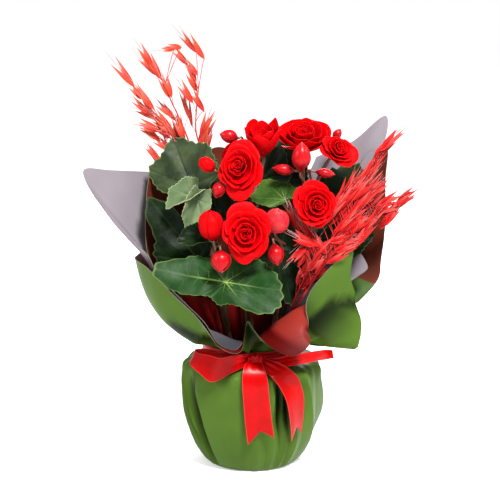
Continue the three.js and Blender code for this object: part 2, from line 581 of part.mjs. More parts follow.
// Blooms: middle, the way it faces, radius, the stem that carries it and where its stalk leaves that stem.
// The outline is how far the outer petals reach, as a share of the radius, every 45 degrees from the
// bloom's right side by its top. One that is still a cup has its outer petals raised.
const BLOOM_STALK = 13;
const ROUND = [1];
const BLOOMS = [
  {
    at: [-13, -46, 323], facing: [-0.22, -0.9, 0.37], radius: 26, petals: 10, stem: 2,
    outline: [0.93, 1, 1.22, 0.76, 0.8, 0.86, 1.22, 1.06], from: [[-11, -22, 272], [-6, -18, 296]],
  },
  {
    at: [-6, -80, 261], facing: [0, -0.97, 0.22], radius: 26, petals: 10, stem: 2,
    outline: [0.97, 1.11, 1.27, 1.13, 0.95, 0.93, 1.19, 1.03], from: [[-3, -14, 178], [-5, -36, 228]],
  },
  {
    at: [65, -60, 286], facing: [0.2, -0.93, 0.3], radius: 25, petals: 10, stem: 3,
    outline: [0.84, 0.92, 1, 1.2, 1.03, 0.97, 1, 0.74], from: [[38, -26, 244], [52, -28, 264]],
  },
  {
    at: [88, -20, 337], facing: [0.4, -0.7, 0.56], radius: 20, petals: 8, stem: 4,
    outline: [1.16, 0.85, 0.75, 0.9, 0.95, 0.75, 0.8, 1.12], from: [[63, 7, 278], [70, 2, 306]],
  },
  {
    at: [11, -14, 339], facing: [-0.05, -0.3, 0.95], radius: 24, petals: 8, cup: 0.9, stem: 2,
    outline: ROUND, from: [[-10, -21, 256], [4, -10, 296]],
  },
  {
    at: [54, 4, 343], facing: [0, -0.5, 0.86], radius: 30, petals: 8, cup: 0.35, stem: 4,
    outline: [1.1, 0.95, 0.85, 0.95, 1.15, 1, 0.9, 1], from: [[57, 8, 250], [54, 16, 300]],
  },
  {
    at: [-12, 52, 322], facing: [-0.2, 0.72, 0.66], radius: 23, petals: 8, stem: 5,
    outline: ROUND, from: [[-3, 41, 268], [-8, 40, 294]],
  },
];

// A bloom's petals follow each other in a spiral, upright at the heart and laid open outside. The radius and
// the height are each given at the foot, the middle and the edge of a petal: for the heart, half way and
// outside.
const PETAL_TURN = 104;
const FLARE = {
  radius: [[0.07, 0.16, 0.2], [0.15, 0.44, 0.62], [0.25, 0.7, 1]],
  height: [[-0.3, 0.12, 0.44], [-0.3, 0.1, 0.38], [-0.3, -0.08, 0.1]],
};

function bloom({ at, facing, radius, petals, outline, cup = 0 }) {
  const surface = new ParametricGeometry((u, v, target) => {
    const side = 2 * (u * petals - Math.floor(u * petals + 1e-6)) - 1;
    const reach = v * (1 - 0.26 * side ** 4);
    const [spread, height] = [FLARE.radius, FLARE.height]
      .map((rows) => along(rows.map((row) => along(row, reach, false)), u ** 0.62, false));
    const turns = (PETAL_TURN * petals * u) / 360;
    const shaped = 1 + (along(outline, turns % 1, true) - 1) * u * u * v;
    const ruffled = radius * spread * shaped * (1 - 0.22 * cup * v) + 1.3 * side * v * u;
    const angle = 2 * Math.PI * turns;
    const raised = height + cup * u * reach ** 2 + 0.04 * side ** 2 * v;
    target.set(ruffled * Math.cos(angle), ruffled * Math.sin(angle), radius * raised);
  }, 4 * petals, 2);
  const top = -0.24 * radius;
  const bottom = GAP - BLOOM_STALK;
  const base = new THREE.CylinderGeometry(2.4, 2.4, top - bottom, 5).rotateX(Math.PI / 2)
    .translate(0, 0, (top + bottom) / 2);
  return fuse([thicken(surface, PETAL), base]).applyMatrix4(placed(at, facing));
}

// Buds: middle, the way the tip points, length, radius, carrying stem and where the stalk leaves it. One that
// is opening has three outer petals that stand off it, the first turned to the front.
const BUDS = [
  {
    name: 'bud_top_left', at: [-24, -8, 350], tip: [-0.85, -0.2, 0.25], length: 21, radius: 7.4, stem: 2,
    from: [[-12, -22, 284], [-8, -6, 320]],
  },
  {
    name: 'bud_left', at: [-46, -42, 326], tip: [-0.7, -0.3, 0.6], length: 20, radius: 7, opening: true,
    stem: 2, from: [[-12, -22, 280], [-29, -26, 306]],
  },
  {
    name: 'bud_dark', at: [-34, -46, 300], tip: [-0.3, -0.3, -0.85], length: 18, radius: 7, stem: 2,
    from: [[-12, -22, 276], [-27, -28, 302]],
  },
  {
    name: 'bud_open', at: [-41, -64, 268], tip: [-0.12, -0.3, 0.95], length: 35, radius: 12.5, opening: true,
    stem: 1, from: [[-40, -42, 236], [-37.3, -54.5, 239]],
  },
  {
    name: 'bud_round', at: [25.5, -64, 272], tip: [0.1, -0.4, 0.9], length: 28, radius: 12.2, opening: true,
    stem: 3, from: [[37, -26, 238], [30, -44, 246]],
  },
  {
    name: 'bud_oval', at: [24, -70, 238], tip: [0.15, -0.35, -0.9], length: 23, radius: 8.5, stem: 3,
    from: [[35, -25, 222], [29, -46, 245]],
  },
  {
    name: 'bud_low', at: [-31, -84, 234], tip: [0.05, -0.6, -0.75], length: 25, radius: 10.5, stem: 1,
    from: [[-40, -44, 239], [-32, -62, 246]],
  },
  {
    name: 'bud_tulip', at: [50, -38, 333], tip: [0.03, -0.12, 1], length: 32, radius: 10, stem: 4,
    from: [[64, 6, 284], [54, -22, 304]],
  },
  {
    name: 'bud_side_left', at: [32, -30, 318.5], tip: [-0.96, -0.1, 0.16], length: 24, radius: 5.8, stem: 4,
    from: [[61, 7, 266], [52, -14, 306]],
  },
  {
    name: 'bud_side_right', at: [75, -32, 315], tip: [0.96, -0.1, -0.12], length: 21, radius: 5, stem: 4,
    from: [[65, 6, 290], [60, -18, 310]],
  },
  {
    name: 'bud_top_right', at: [90, 34, 346], tip: [0.5, -0.1, 0.8], length: 14, radius: 4.8, stem: 4,
    from: [[66, 6, 294], [82, 28, 322]],
  },
];

const budSeat = ({ at, tip, length }) => toVec(at).addScaledVector(toVec(tip).normalize(), -length / 2);

function bud(spec) {
  const shells = spec.opening ? [0, 1, 2] : [];
  const girth = spec.opening ? 0.78 * spec.radius : spec.radius;
  const profile = [[0, 0], [0.6, 0.12], [1, 0.42], [0.75, 0.76], [0, 1]]
    .map(([r, z]) => new THREE.Vector2(r * girth, z * spec.length));
  const body = outward(new THREE.LatheGeometry(profile, spec.opening ? 5 : 6).rotateX(Math.PI / 2));
  const petals = shells.map((k) => {
    const surface = new ParametricGeometry((u, v, target) => {
      const angle = radians(270 + 120 * k + 52 * (2 * u - 1));
      const reach = v * (1 - 0.2 * (2 * u - 1) ** 2);
      const radius = spec.radius * along([0.35, 0.98, 1.08, 0.8], reach, false);
      target.set(radius * Math.cos(angle), radius * Math.sin(angle), spec.length * (0.06 + 0.9 * reach));
    }, 2, 2);
    return thicken(surface, PETAL);
  });
  const seat = budSeat(spec);
  return fuse([body, ...petals]).applyMatrix4(placed(seat.toArray(), spec.tip));
}

// The stalk of a bloom or a bud comes in along its axis and stops just short of it.
function stalk(end, axis, from, radius) {
  const direction = toVec(axis).normalize();
  const seat = end.clone().addScaledVector(direction, -GAP);
  const approach = seat.clone().addScaledVector(direction, -5);
  return stem([...from, approach.toArray(), seat.toArray()], radius * 1.25, radius, 3, 5);
}

function leafyStem(spec, index) {
  const [x, y] = spec.path[0];
  const upright = [[x, y, STEM_FOOT], [x, y, SOIL_TOP - 4], [x, y, SOIL_TOP + 2]];
  const parts = [stem([...upright, ...spec.path.slice(1)], 3.8, 2.2, 5, 7)];
  for (const leaf of spec.leaves) {
    const top = toVec(leaf.at).addScaledVector(toVec(leaf.tip).normalize(), 0.07 * leaf.length);
    const back = top.clone().addScaledVector(toVec(leaf.facing).normalize(), -0.45 * BLADE);
    const under = top.clone().addScaledVector(toVec(leaf.facing).normalize(), -7);
    parts.push(leafBlade(leaf));
    parts.push(stem([...leaf.from, under.toArray(), back.toArray()], 1.8, 1.3, 3, 4));
  }
  for (const flower of BLOOMS.filter((one) => one.stem === index)) {
    const axis = toVec(flower.facing).normalize();
    const foot = toVec(flower.at).addScaledVector(axis, GAP - BLOOM_STALK);
    parts.push(stalk(foot, flower.facing, flower.from, 1.6));
  }
  for (const one of BUDS.filter((entry) => entry.stem === index)) {
    parts.push(stalk(budSeat(one), one.tip, one.from, 1.1));
  }
  return fuse(parts);
}

// Dried oats: straws with spikelets. A spikelet is one solid: a hair-thin stalk that starts inside the straw,
// the husk's foot, its widest place and two pointed husk tips that stand apart.
function spikelet(from, foot, tip, width) {
  const [root, neck, end] = [from, foot, tip].map(toVec);
  const length = neck.distanceTo(end);
  const axis = end.clone().sub(neck).normalize();
  const rise = neck.clone().sub(root).normalize();
  const ring = (middle, along, wide, thick) => {
    const flat = vec(0.3, 1, 0.1).projectOnPlane(along).normalize();
    const deep = new THREE.Vector3().crossVectors(along, flat);
    return [[-thick, wide], [thick, 0], [-thick, -wide]]
      .map(([p, q]) => middle.clone().addScaledVector(flat, p).addScaledVector(deep, q));
  };
  const wide = new THREE.Vector3().crossVectors(axis, vec(0.3, 1, 0.1)).normalize();
  const points = [
    ...ring(root, rise, 0.6, 0.5), ...ring(neck, rise.clone().add(axis).normalize(), 0.8, 0.6),
    ...ring(neck.clone().addScaledVector(axis, 0.38 * length), axis, width / 2, width / 3.4),
    neck.clone().addScaledVector(axis, 0.88 * length).addScaledVector(wide, 0.12 * length),
    end.clone().addScaledVector(wide, -0.06 * length),
  ];
  const faces = [[0, 1, 2], [6, 9, 7], [8, 9, 6], [7, 9, 10], [7, 10, 8], [10, 9, 8]];
  for (const start of [0, 3]) {
    for (let k = 0; k < 3; k += 1) {
      const [p, q] = [start + k, start + ((k + 1) % 3)];
      faces.push([p, p + 3, q], [q, p + 3, q + 3]);
    }
  }
  const geometry = new THREE.BufferGeometry().setFromPoints(points);
  geometry.setIndex(faces.flat());
  return outward(geometry);
}

const OATS_LEFT = {
  foot: [-30, 22],
  straws: [
    [
      [-32, 22, 130], [-44, 26, 200], [-58, 26, 262], [-71, 24, 298], [-88, 26, 332], [-99, 27, 363],
      [-111, 30, 379],
    ],
    [
      [-39, 24, 178], [-42, 32, 220], [-54, 30, 290], [-65, 26, 335], [-78, 30, 367], [-84, 29, 380],
      [-91, 31, 398],
    ],
    [
      [-35, 23, 155], [-34, 33, 210], [-46, 33, 290], [-54, 28, 330], [-59, 30, 351], [-58, 30, 375],
      [-56, 32, 393],
    ],
  ],
  spikelets: [
    [[-123, 26, 397], [-146, 30, 425]], [[-115, 33, 383], [-129, 37, 397]],
    [[-103, 26, 418], [-118, 22, 441]],
    [[-99, 32, 408], [-117, 40, 424]], [[-87, 26, 386], [-97, 23, 411]],
    [[-58, 32, 432], [-76, 30, 453]], [[-81, 32, 436], [-94, 26, 435]],
    [[-67, 34, 419], [-83, 36, 436]], [[-59, 35, 400], [-67, 30, 421]], [[-62, 27, 380], [-77, 24, 403]],
    [[-67, 32, 364], [-75, 36, 396]], [[-109, 26, 369], [-126, 22, 386]], [[-102, 30, 363], [-124, 35, 374]],
    [[-98, 24, 352], [-119, 26, 361]], [[-80, 34, 360], [-96, 38, 378]],
    [[-73, 30, 342], [-82, 34, 365]], [[-99, 26, 319], [-112, 30, 335]],
    [[-54, 27, 345], [-43, 25, 373]], [[-49, 26, 330], [-44, 22, 351]],
    [[-76, 24, 341], [-86, 20, 361]], [[-97, 29, 340], [-115, 34, 352]],
    [[-90, 26, 353], [-106, 20, 371]],
  ],
  grown: [],
};

const OATS_RIGHT = {
  foot: [36, -8],
  straws: [
    [
      [37, -12, 130], [40, -40, 160], [42, -60, 184], [61, -64, 226], [84, -54, 255], [108, -36, 288],
      [127, -20, 322],
    ],
    [[41, -52, 174], [50, -64, 190], [70, -66, 223], [94, -58, 250], [118, -44, 267], [142, -30, 282]],
  ],
  spikelets: [
    [[150, -24, 285], [170, -20, 299]], [[128, -30, 278], [151, -24, 287]],
    [[138, -30, 267], [150, -22, 284]],
    [[133, -8, 336], [153, 0, 355]], [[116, -18, 308], [135, -8, 335]], [[110, -24, 298], [131, -16, 327]],
    [[94, -36, 291], [111, -30, 318]], [[120, -28, 287], [138, -20, 304]], [[111, -26, 283], [134, -12, 304]],
    [[100, -40, 273], [123, -30, 298]], [[87, -44, 278], [107, -36, 305]], [[100, -34, 291], [121, -26, 313]],
    [[95, -44, 266], [117, -36, 283]], [[112, -46, 255], [134, -36, 280]], [[101, -50, 256], [120, -42, 271]],
    [[86, -56, 249], [110, -50, 253]], [[87, -64, 237], [105, -60, 245]], [[62, -60, 247], [42, -62, 259]],
    [[64, -56, 247], [50, -46, 268]], [[52, -58, 244], [40, -62, 230]], [[49, -50, 257], [40, -40, 280]],
  ],
  // straw, and where along it the spikelet's stalk leaves
  grown: [
    [0, 0.6], [0, 0.74], [0, 0.86], [1, 0.4], [1, 0.55], [1, 0.7],
  ],
};

// A small repeatable source of numbers from 0 to 1.
function draws(seed) {
  let state = seed;
  return () => {
    state = (state * 16807) % 2147483647;
    return state / 2147483647;
  };
}

const STRAW = { foot: 1.7, fork: 1.2, tip: 0.8, sides: 3, steps: 10 };
const HUSK = { width: 5.6, spacing: 3.5 };

// Places a few millimetres apart down the middle of a straw, on the straight runs between its rings.
function straightRuns(curve) {
  const rings = Array.from({ length: STRAW.steps + 1 }, (_, i) => curve.getPointAt(i / STRAW.steps));
  return rings.slice(1, -1).flatMap((ring, i) => {
    const count = Math.floor(ring.distanceTo(rings[i]) / HUSK.spacing);
    return Array.from({ length: count }, (_, k) => rings[i].clone().lerp(ring, (k + 0.5) / count));
  });
}

// Each husk's stalk has a place of its own on a straw: the free one nearest to where it is wanted.
function oatSpray({ foot, straws, spikelets, grown }, seed) {
  const draw = draws(seed);
  const [x, y] = foot;
  const free = [];
  const take = (goal) => {
    free.sort((a, b) => a.distanceTo(goal) - b.distanceTo(goal));
    return free.shift();
  };
  const curves = straws.map((points, k) => {
    const fork = k === 0 ? [[x, y, STEM_FOOT], [x, y, SOIL_TOP - 4], [x, y, SOIL_TOP + 2]]
      : [take(toVec(points[0])).toArray()];
    const curve = new THREE.CatmullRomCurve3([...fork, ...points.slice(k === 0 ? 0 : 1)].map(toVec));
    free.push(...straightRuns(curve));
    return curve;
  });
  const parts = curves.map((curve, k) => stemAlong(curve, k === 0 ? STRAW.foot : STRAW.fork, STRAW.tip,
    STRAW.sides, STRAW.steps));
  for (const [start, tip] of spikelets) {
    parts.push(spikelet(take(toVec(start).add(vec(0, 0, -12))).toArray(), start, tip, HUSK.width));
  }
  for (const [straw, at] of grown) {
    const from = take(curves[straw].getPointAt(at));
    const ahead = curves[straw].getTangentAt(at);
    const swing = vec(draw() - 0.5, 0.7 * (draw() - 0.7), draw() - 0.4);
    const start = from.clone().addScaledVector(ahead, 7).addScaledVector(swing, 9);
    const way = ahead.clone().addScaledVector(swing, 0.5).normalize();
    const tip = start.clone().addScaledVector(way, 22 + 8 * draw());
    parts.push(spikelet(from.toArray(), start.toArray(), tip.toArray(), HUSK.width));
  }
  return fuse(parts);
}

// The begonia's parts and everything round it, one mesh a node.
const COLOURS = {
  pot: 0x7a4a34, soil: 0x3a2a1e, film: 0x5b7f3a, brick: 0x9c4a42, grey: 0xcfcad6, ribbon: 0xc4151c,
  leaf: 0x2f5a32, bloom: 0xe0121c, oats: 0xe0504a,
};

const group = new THREE.Group();

function addPart(name, geometry, colour, roughness) {
  const material = new THREE.MeshStandardMaterial({ color: colour, roughness, metalness: 0 });
  const mesh = new THREE.Mesh(geometry, material);
  mesh.name = name;
  group.add(mesh);
}

const STEM_HOLE = 4.2;
const STRAW_HOLE = 2;
const roots = [
  ...STEMS.map(({ path }) => [path[0][0], path[0][1], STEM_HOLE]),
  ...[OATS_LEFT, OATS_RIGHT].map(({ foot }) => [...foot, STRAW_HOLE]),
];

addPart('nursery_pot', nurseryPot(), COLOURS.pot, 0.6);
addPart('potting_soil', pottingSoil(roots), COLOURS.soil, 1);
addPart('outer_wrap', outerWrap(OUTER_COLUMNS.length, 10), COLOURS.film, 0.6);
addPart('grey_sheet_left', innerSheet(GREY_LEFT_COLUMNS, NECK_RADIUS.greyLeft, 14, 4), COLOURS.grey, 0.5);
addPart(
  'back_sheet', innerSheet([...BACK_RIGHT_COLUMNS, ...BACK_COLUMNS], NECK_RADIUS.back, 17, 4),
  COLOURS.brick, 0.6,
);
addPart('grey_sheet_right', innerSheet(GREY_RIGHT_COLUMNS, NECK_RADIUS.greyRight, 10, 4), COLOURS.grey, 0.5);
addPart('ribbon', ribbon(), COLOURS.ribbon, 0.35);
STEMS.forEach((spec, index) => addPart(spec.name, leafyStem(spec, index), COLOURS.leaf, 0.55));
BLOOMS.forEach((spec, index) => addPart(`bloom_${index + 1}`, bloom(spec), COLOURS.bloom, 0.5));
for (const spec of BUDS) addPart(spec.name, bud(spec), COLOURS.bloom, 0.5);
addPart('oat_spray_left', oatSpray(OATS_LEFT, 7), COLOURS.oats, 0.7);
addPart('oat_spray_right', oatSpray(OATS_RIGHT, 19), COLOURS.oats, 0.7);

export default group;
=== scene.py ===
# %% [markdown]
# A potted begonia in its gift wrap. The plant stands in a thin nursery pot of soil. Matte film, green on one
# face and brick red on the other, is gathered round the pot and tied at the neck with a satin ribbon, and
# above the ribbon it opens into a collar with pearl grey film inside it. Two sprays of dyed dried oats stand
# beside the plant. The solids give every piece its place, in metres, with the front towards -Y.

# %% Load the frame
import math

import bpy
from mathutils import Matrix, Vector, noise


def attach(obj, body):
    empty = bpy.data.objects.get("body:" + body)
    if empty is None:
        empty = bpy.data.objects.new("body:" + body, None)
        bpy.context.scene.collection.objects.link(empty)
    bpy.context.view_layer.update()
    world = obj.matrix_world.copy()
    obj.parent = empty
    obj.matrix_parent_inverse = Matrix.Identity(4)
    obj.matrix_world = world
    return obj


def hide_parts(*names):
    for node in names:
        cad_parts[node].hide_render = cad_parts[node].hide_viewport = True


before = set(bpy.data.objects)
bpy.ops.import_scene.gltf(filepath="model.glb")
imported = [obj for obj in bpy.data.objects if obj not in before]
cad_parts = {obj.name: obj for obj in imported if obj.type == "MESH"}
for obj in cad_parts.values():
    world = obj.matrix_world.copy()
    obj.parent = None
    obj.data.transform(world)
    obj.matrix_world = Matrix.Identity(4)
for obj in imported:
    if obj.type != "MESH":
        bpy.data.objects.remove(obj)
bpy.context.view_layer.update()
MM = 0.001

# %% [markdown]
# The photograph looks a little down on the wrap, straight at the bow, from well back with a long lens. So the
# camera stands 1.8 m in front of the middle of the bunch, twelve degrees up, and its lens is chosen so that
# one pixel of a 500 pixel picture is 1.05 mm at that middle.

# %% Camera
LOOK_AT = Vector((-2, 0, 228)) * MM
CAMERA_DISTANCE = 1.8
CAMERA_RISE = math.radians(12)
PIXEL = 1.05 * MM
PHOTO_SIDE = 500
SENSOR = 36

camera_data = bpy.data.cameras.new("camera")
camera_data.sensor_width = SENSOR
camera_data.lens = SENSOR * CAMERA_DISTANCE / (PHOTO_SIDE * PIXEL)
camera = bpy.data.objects.new("camera", camera_data)
bpy.context.collection.objects.link(camera)
towards_camera = Vector((0, -math.cos(CAMERA_RISE), math.sin(CAMERA_RISE)))
camera.location = LOOK_AT + CAMERA_DISTANCE * towards_camera
camera.rotation_euler = (-towards_camera).to_track_quat("-Z", "Y").to_euler()
bpy.context.scene.camera = camera
print("lens", round(camera_data.lens, 1), "mm")

# %% [markdown]
# A white studio: a bright even world, one strong soft lamp high in front and a little to the right, a weaker
# one from the left, one at the right for the light edges on the film, and a low one behind that lets the
# petals and the grey film glow. A picture of a real studio could light it too, but single lamps are easier to
# set one by one. The standard view transform keeps the reds clean and the ground white.

# %% Studio
bpy.context.scene.view_settings.view_transform = "Standard"
world = bpy.data.worlds.new("studio")
bpy.context.scene.world = world
world.use_nodes = True
backdrop = world.node_tree.nodes["Background"]
backdrop.inputs["Color"].default_value = (1, 1, 1, 1)
backdrop.inputs["Strength"].default_value = 1.0

# Name, place in metres, watts and side in metres
LAMPS = [
    ("key", (0.45, -1.2, 1.75), 125, 0.4),
    ("left_fill", (-1.4, -0.8, 1.0), 16, 0.5),
    ("right_edge", (1.3, -0.2, 1.1), 8, 0.4),
    ("back_glow", (0.2, 1.5, 0.9), 16, 0.9),
]
for name, place, watts, side in LAMPS:
    data = bpy.data.lights.new(name, "AREA")
    data.energy = watts
    data.size = side
    lamp = bpy.data.objects.new(name, data)
    bpy.context.collection.objects.link(lamp)
    lamp.location = place
    lamp.rotation_euler = (LOOK_AT - Vector(place)).to_track_quat("-Z", "Y").to_euler()
print(len(LAMPS), "lamps face the middle of the bunch")

# %% [markdown]
# Everything soft here is a thin sheet: film, satin, leaf or petal. All of them start as a flat grid whose
# points are then carried to their places, in millimetres, by a small function of how far across and how far
# along the sheet a point is. Rows of given points are joined by a smooth curve that runs through each of
# them, so a few well chosen points give a whole fold. A cloth simulation could make the folds too, but here
# each of them has its known place.

# %% Curves through given points
def ramp(value, start=0, length=1):
    """0 up to the start, then rising to 1 over the length."""
    return min(max((value - start) / length, 0), 1)


def along(values, t, closed=False):
    """A smooth curve through the values, read at t from 0 to 1."""
    count = len(values)
    span = count if closed else count - 1
    at = ramp(t) * span
    i = min(int(at), span - 1)
    f = at - i

    def pick(k):
        return values[k % count] if closed else values[min(max(k, 0), count - 1)]

    a, b, c, d = pick(i - 1), pick(i), pick(i + 1), pick(i + 2)
    return b + 0.5 * f * (c - a + f * (2 * a - 5 * b + 4 * c - d + f * (3 * (b - c) + d - a)))


def vectors(points):
    return [Vector(p) for p in points]


def ripple(point, size, seed=0):
    """Smooth noise from -1 to 1 that changes over about size millimetres."""
    return noise.noise(Vector(point) / size + Vector((seed * 7.3, seed * 3.1, seed * 5.7)))


print("half way through 0, 1 and 4:", along([0, 1, 4], 0.5))


# %% Grid sheets
def activate(piece):
    bpy.ops.object.select_all(action="DESELECT")
    piece.select_set(True)
    bpy.context.view_layer.objects.active = piece


def grid_sheet(name, across, lengthwise, place):
    """A grid whose point at (u, v), each from 0 to 1, is carried to place(u, v), in millimetres."""
    bpy.ops.object.select_all(action="DESELECT")
    bpy.ops.mesh.primitive_grid_add(x_subdivisions=across, y_subdivisions=lengthwise, size=1)
    sheet = bpy.context.active_object
    sheet.name = name
    sheet.data.name = name
    for vertex in sheet.data.vertices:
        vertex.co = place(vertex.co.x + 0.5, vertex.co.y + 0.5) * MM
    return sheet


def weld(piece, distance=0.02):
    activate(piece)
    bpy.ops.object.mode_set(mode="EDIT")
    bpy.ops.mesh.select_all(action="SELECT")
    bpy.ops.mesh.remove_doubles(threshold=distance * MM)
    bpy.ops.object.mode_set(mode="OBJECT")


def smooth(piece, angle):
    activate(piece)
    bpy.ops.object.shade_smooth_by_angle(angle=math.radians(angle))


def finish_sheet(piece, thickness, materials, angle=None):
    """Gives the sheet a wall behind it, in millimetres. The materials given are those of its face, its back
    and its edge, in that order. Bends flatter than the angle are shaded smooth."""
    for material in materials:
        piece.data.materials.append(material)
    activate(piece)
    wall = piece.modifiers.new("solidify", "SOLIDIFY")
    wall.thickness = thickness * MM
    wall.offset = -1
    wall.use_quality_normals = True
    wall.material_offset = 1 if len(materials) > 1 else 0
    wall.material_offset_rim = 2 if len(materials) > 2 else 0
    bpy.ops.object.modifier_apply(modifier=wall.name)
    if angle:
        smooth(piece, angle)
    return piece


def join(name, parts):
    bpy.ops.object.select_all(action="DESELECT")
    for part in parts:
        part.select_set(True)
    bpy.context.view_layer.objects.active = parts[0]
    if len(parts) > 1:
        bpy.ops.object.join()
    whole = bpy.context.active_object
    whole.name = name
    whole.data.name = name
    return whole


def dress(piece, slot, *nodes):
    """The piece stands for its solids and rides with the part. The slot is not used."""
    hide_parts(*nodes)
    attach(piece, "root")
    print(piece.name, len(piece.data.polygons), "faces")


# %% [markdown]
# Materials come next. Each is a principled shader whose colour, roughness and bump come from nodes. Pictures
# could give the colours, but nodes stay sharp from close by and need no files. A small kit keeps them short:
# a texture driven by object coordinates in millimetres, a ramp between values, a mix of colours, and a bump.
# Values that are the same all over are set on the shader itself.

# %% Material kit
# The mix node has sockets for each kind of value, and these are the ones for colours
MIX_SHARE, MIX_FIRST, MIX_SECOND, MIX_RESULT = 0, 6, 7, 2


class Finish:
    """A material with its shader and a few nodes that are used again and again."""

    def __init__(self, name, roughness=0.5, **sockets):
        self.material = bpy.data.materials.new(name)
        self.material.use_nodes = True
        self.nodes = self.material.node_tree.nodes
        self.shader = self.nodes["Principled BSDF"]
        self.set("Roughness", roughness)
        for key, value in sockets.items():
            self.set(key.replace("_", " "), value)

    def put(self, value, socket):
        """Wires another node's output to the socket, or sets the socket to a plain value."""
        if hasattr(value, "is_output"):
            self.material.node_tree.links.new(value, socket)
        else:
            socket.default_value = value

    def set(self, socket, value):
        self.put(value, self.shader.inputs[socket])

    def node(self, kind, inputs, **settings):
        """A new node. The inputs are given by name or by number."""
        node = self.nodes.new("ShaderNode" + kind)
        for key, value in settings.items():
            setattr(node, key, value)
        for socket, value in inputs.items():
            self.put(value, node.inputs[socket])
        return node

    def place(self, stretch=(1, 1, 1), uv=False):
        """Object coordinates in millimetres, or the piece's own flat coordinates, stretched."""
        source = self.node("TexCoord", {}).outputs["UV" if uv else "Object"]
        scale = 1.0 if uv else 1 / MM
        inputs = {"Scale": [scale * s for s in stretch], "Vector": source}
        return self.node("Mapping", inputs).outputs["Vector"]

    def noise(self, size, detail=3, place=None, distortion=0.0):
        """Cloudy noise whose patches are about size millimetres across."""
        place = place or self.place()
        inputs = {"Scale": 1 / size, "Detail": detail, "Distortion": distortion, "Vector": place}
        return self.node("TexNoise", inputs).outputs["Fac"]

    def calc(self, operation, *values):
        return self.node("Math", dict(enumerate(values)), operation=operation).outputs[0]

    def split(self, vector):
        return self.node("SeparateXYZ", {0: vector}).outputs

    def span(self, value, low, high, to_low=0.0, to_high=1.0):
        """Carries low to high onto another range, held at its ends."""
        inputs = {"Value": value, "From Min": low, "From Max": high, "To Min": to_low, "To Max": to_high}
        return self.node("MapRange", inputs, interpolation_type="SMOOTHSTEP").outputs["Result"]

    def mix(self, share, first, second):
        """From the first colour to the second as the share goes from 0 to 1."""
        first, second = (value if hasattr(value, "is_output") else (*value, 1) for value in (first, second))
        inputs = {MIX_SHARE: share, MIX_FIRST: first, MIX_SECOND: second}
        return self.node("Mix", inputs, data_type="RGBA").outputs[MIX_RESULT]

    def bump(self, height, strength, distance, after=None):
        """Relief of a height in millimetres, laid over another one if that is given."""
        inputs = {"Strength": strength, "Distance": distance * MM, "Height": height}
        if after:
            inputs["Normal"] = after
        relief = self.node("Bump", inputs).outputs["Normal"]
        self.set("Normal", relief)
        return relief


# How much brighter than its finish a face looks where the key lamp and the world both light it
FULL_LIGHT = 2.7


def paint(red, green, blue):
    """The finish that looks like this colour, 0 to 255, where the studio lights it fully."""
    linear = [((c / 255 + 0.055) / 1.055) ** 2.4 if c > 10 else c / 255 / 12.92 for c in (red, green, blue)]
    return tuple(value / FULL_LIGHT for value in linear)


print("white under full light:", [round(value, 3) for value in paint(255, 255, 255)])


# %% [markdown]
# The floor is the first thing with a finish of its own. It is wide, matte and pale, and gives off a little
# light, so that the ground stays white.

# %% Floor
bpy.ops.mesh.primitive_plane_add(size=8)
floor = bpy.context.active_object
floor.name = "floor"
floor_paint = Finish("floor_paint", 0.9, Specular_IOR_Level=0.0, Emission_Strength=0.3)
floor_paint.set("Base Color", (0.72, 0.72, 0.72, 1))
floor_paint.set("Emission Color", (1, 1, 1, 1))
floor.data.materials.append(floor_paint.material)
print("floor is under the pot")

# %% [markdown]
# The film is printed green on one face and brick red on the other, matte, with a soft sheen. It is never
# quite even: faint clouds make lighter and darker patches, and fine crinkles catch the light. The cut edge is
# a thin paler line. Down in the collar, and at the bottom of a fold, hardly any light comes, so a painted
# shade darkens the film there. The pearl film is a cool grey. The sheet behind the plant has a duller brown
# face, and its lower right corner is turned over, so that the green side shows.

# %% Film finishes
# The turned corner lies below a height that falls off to the right, and right of a line
CORNER_TOP = (241, 242)
CORNER_SLOPE = 0.4
CORNER_SIDE = (90, 92)
# The painted shade of green film at the bottom of its folds and under the bow
FOLD_SHADE_GREEN = (22, 34, 8)


def film(name, colour, shade, roughness, deep=None, low=None, high=None, corner=None):
    """deep is the colour of the painted shade down in the collar, from the height high down to low, and in
    the folds of the film. corner is the colour of the lower right corner, which is turned over."""
    finish = Finish(name, roughness, Specular_IOR_Level=0.035)
    clouds = finish.span(finish.noise(70, 2), 0.3, 0.72)
    colour = finish.mix(clouds, paint(*shade), paint(*colour))
    # Painted shade: from the height high down to low the film darkens towards deep, down in the collar
    if deep:
        height = finish.split(finish.place())[2]
        colour = finish.mix(finish.span(height, low, high), paint(*deep), colour)
    if corner:
        across, _, height = finish.split(finish.place())
        slanted = finish.calc("MULTIPLY_ADD", across, CORNER_SLOPE, height)
        below = finish.span(slanted, *CORNER_TOP, 1, 0)
        turned = finish.calc("MULTIPLY", below, finish.span(across, *CORNER_SIDE))
        colour = finish.mix(turned, colour, paint(*corner))
    # Painted shade: the points' fold values darken the film in its folds and under the bow
    fold = finish.node("Attribute", {}, attribute_name="fold").outputs["Fac"]
    finish.set("Base Color", finish.mix(fold, colour, paint(*(deep or FOLD_SHADE_GREEN))))
    finish.bump(finish.noise(14, 3, finish.place((1, 1, 0.4))), 0.12, 0.8)
    return finish.material


# Where it is given, the fourth colour is a painted shade, down in the collar and in the folds
film_green = film("film_green", (96, 130, 46), (84, 116, 40), 0.38)
film_brick = film("film_brick", (174, 58, 48), (148, 42, 34), 0.42, (88, 6, 6), 135, 176)
film_brown = film("film_brown", (116, 54, 38), (92, 40, 28), 0.45, (124, 8, 10), 150, 200, (72, 102, 44))
film_edge = film("film_edge", (134, 130, 114), (116, 110, 96), 0.5)
pearl_light = film("pearl_light", (160, 151, 159), (149, 139, 146), 0.3, (64, 64, 70), 150, 190)
pearl_dark = film("pearl_dark", (160, 152, 160), (146, 138, 146), 0.34, (56, 56, 62), 150, 190)
print("film has its finishes")
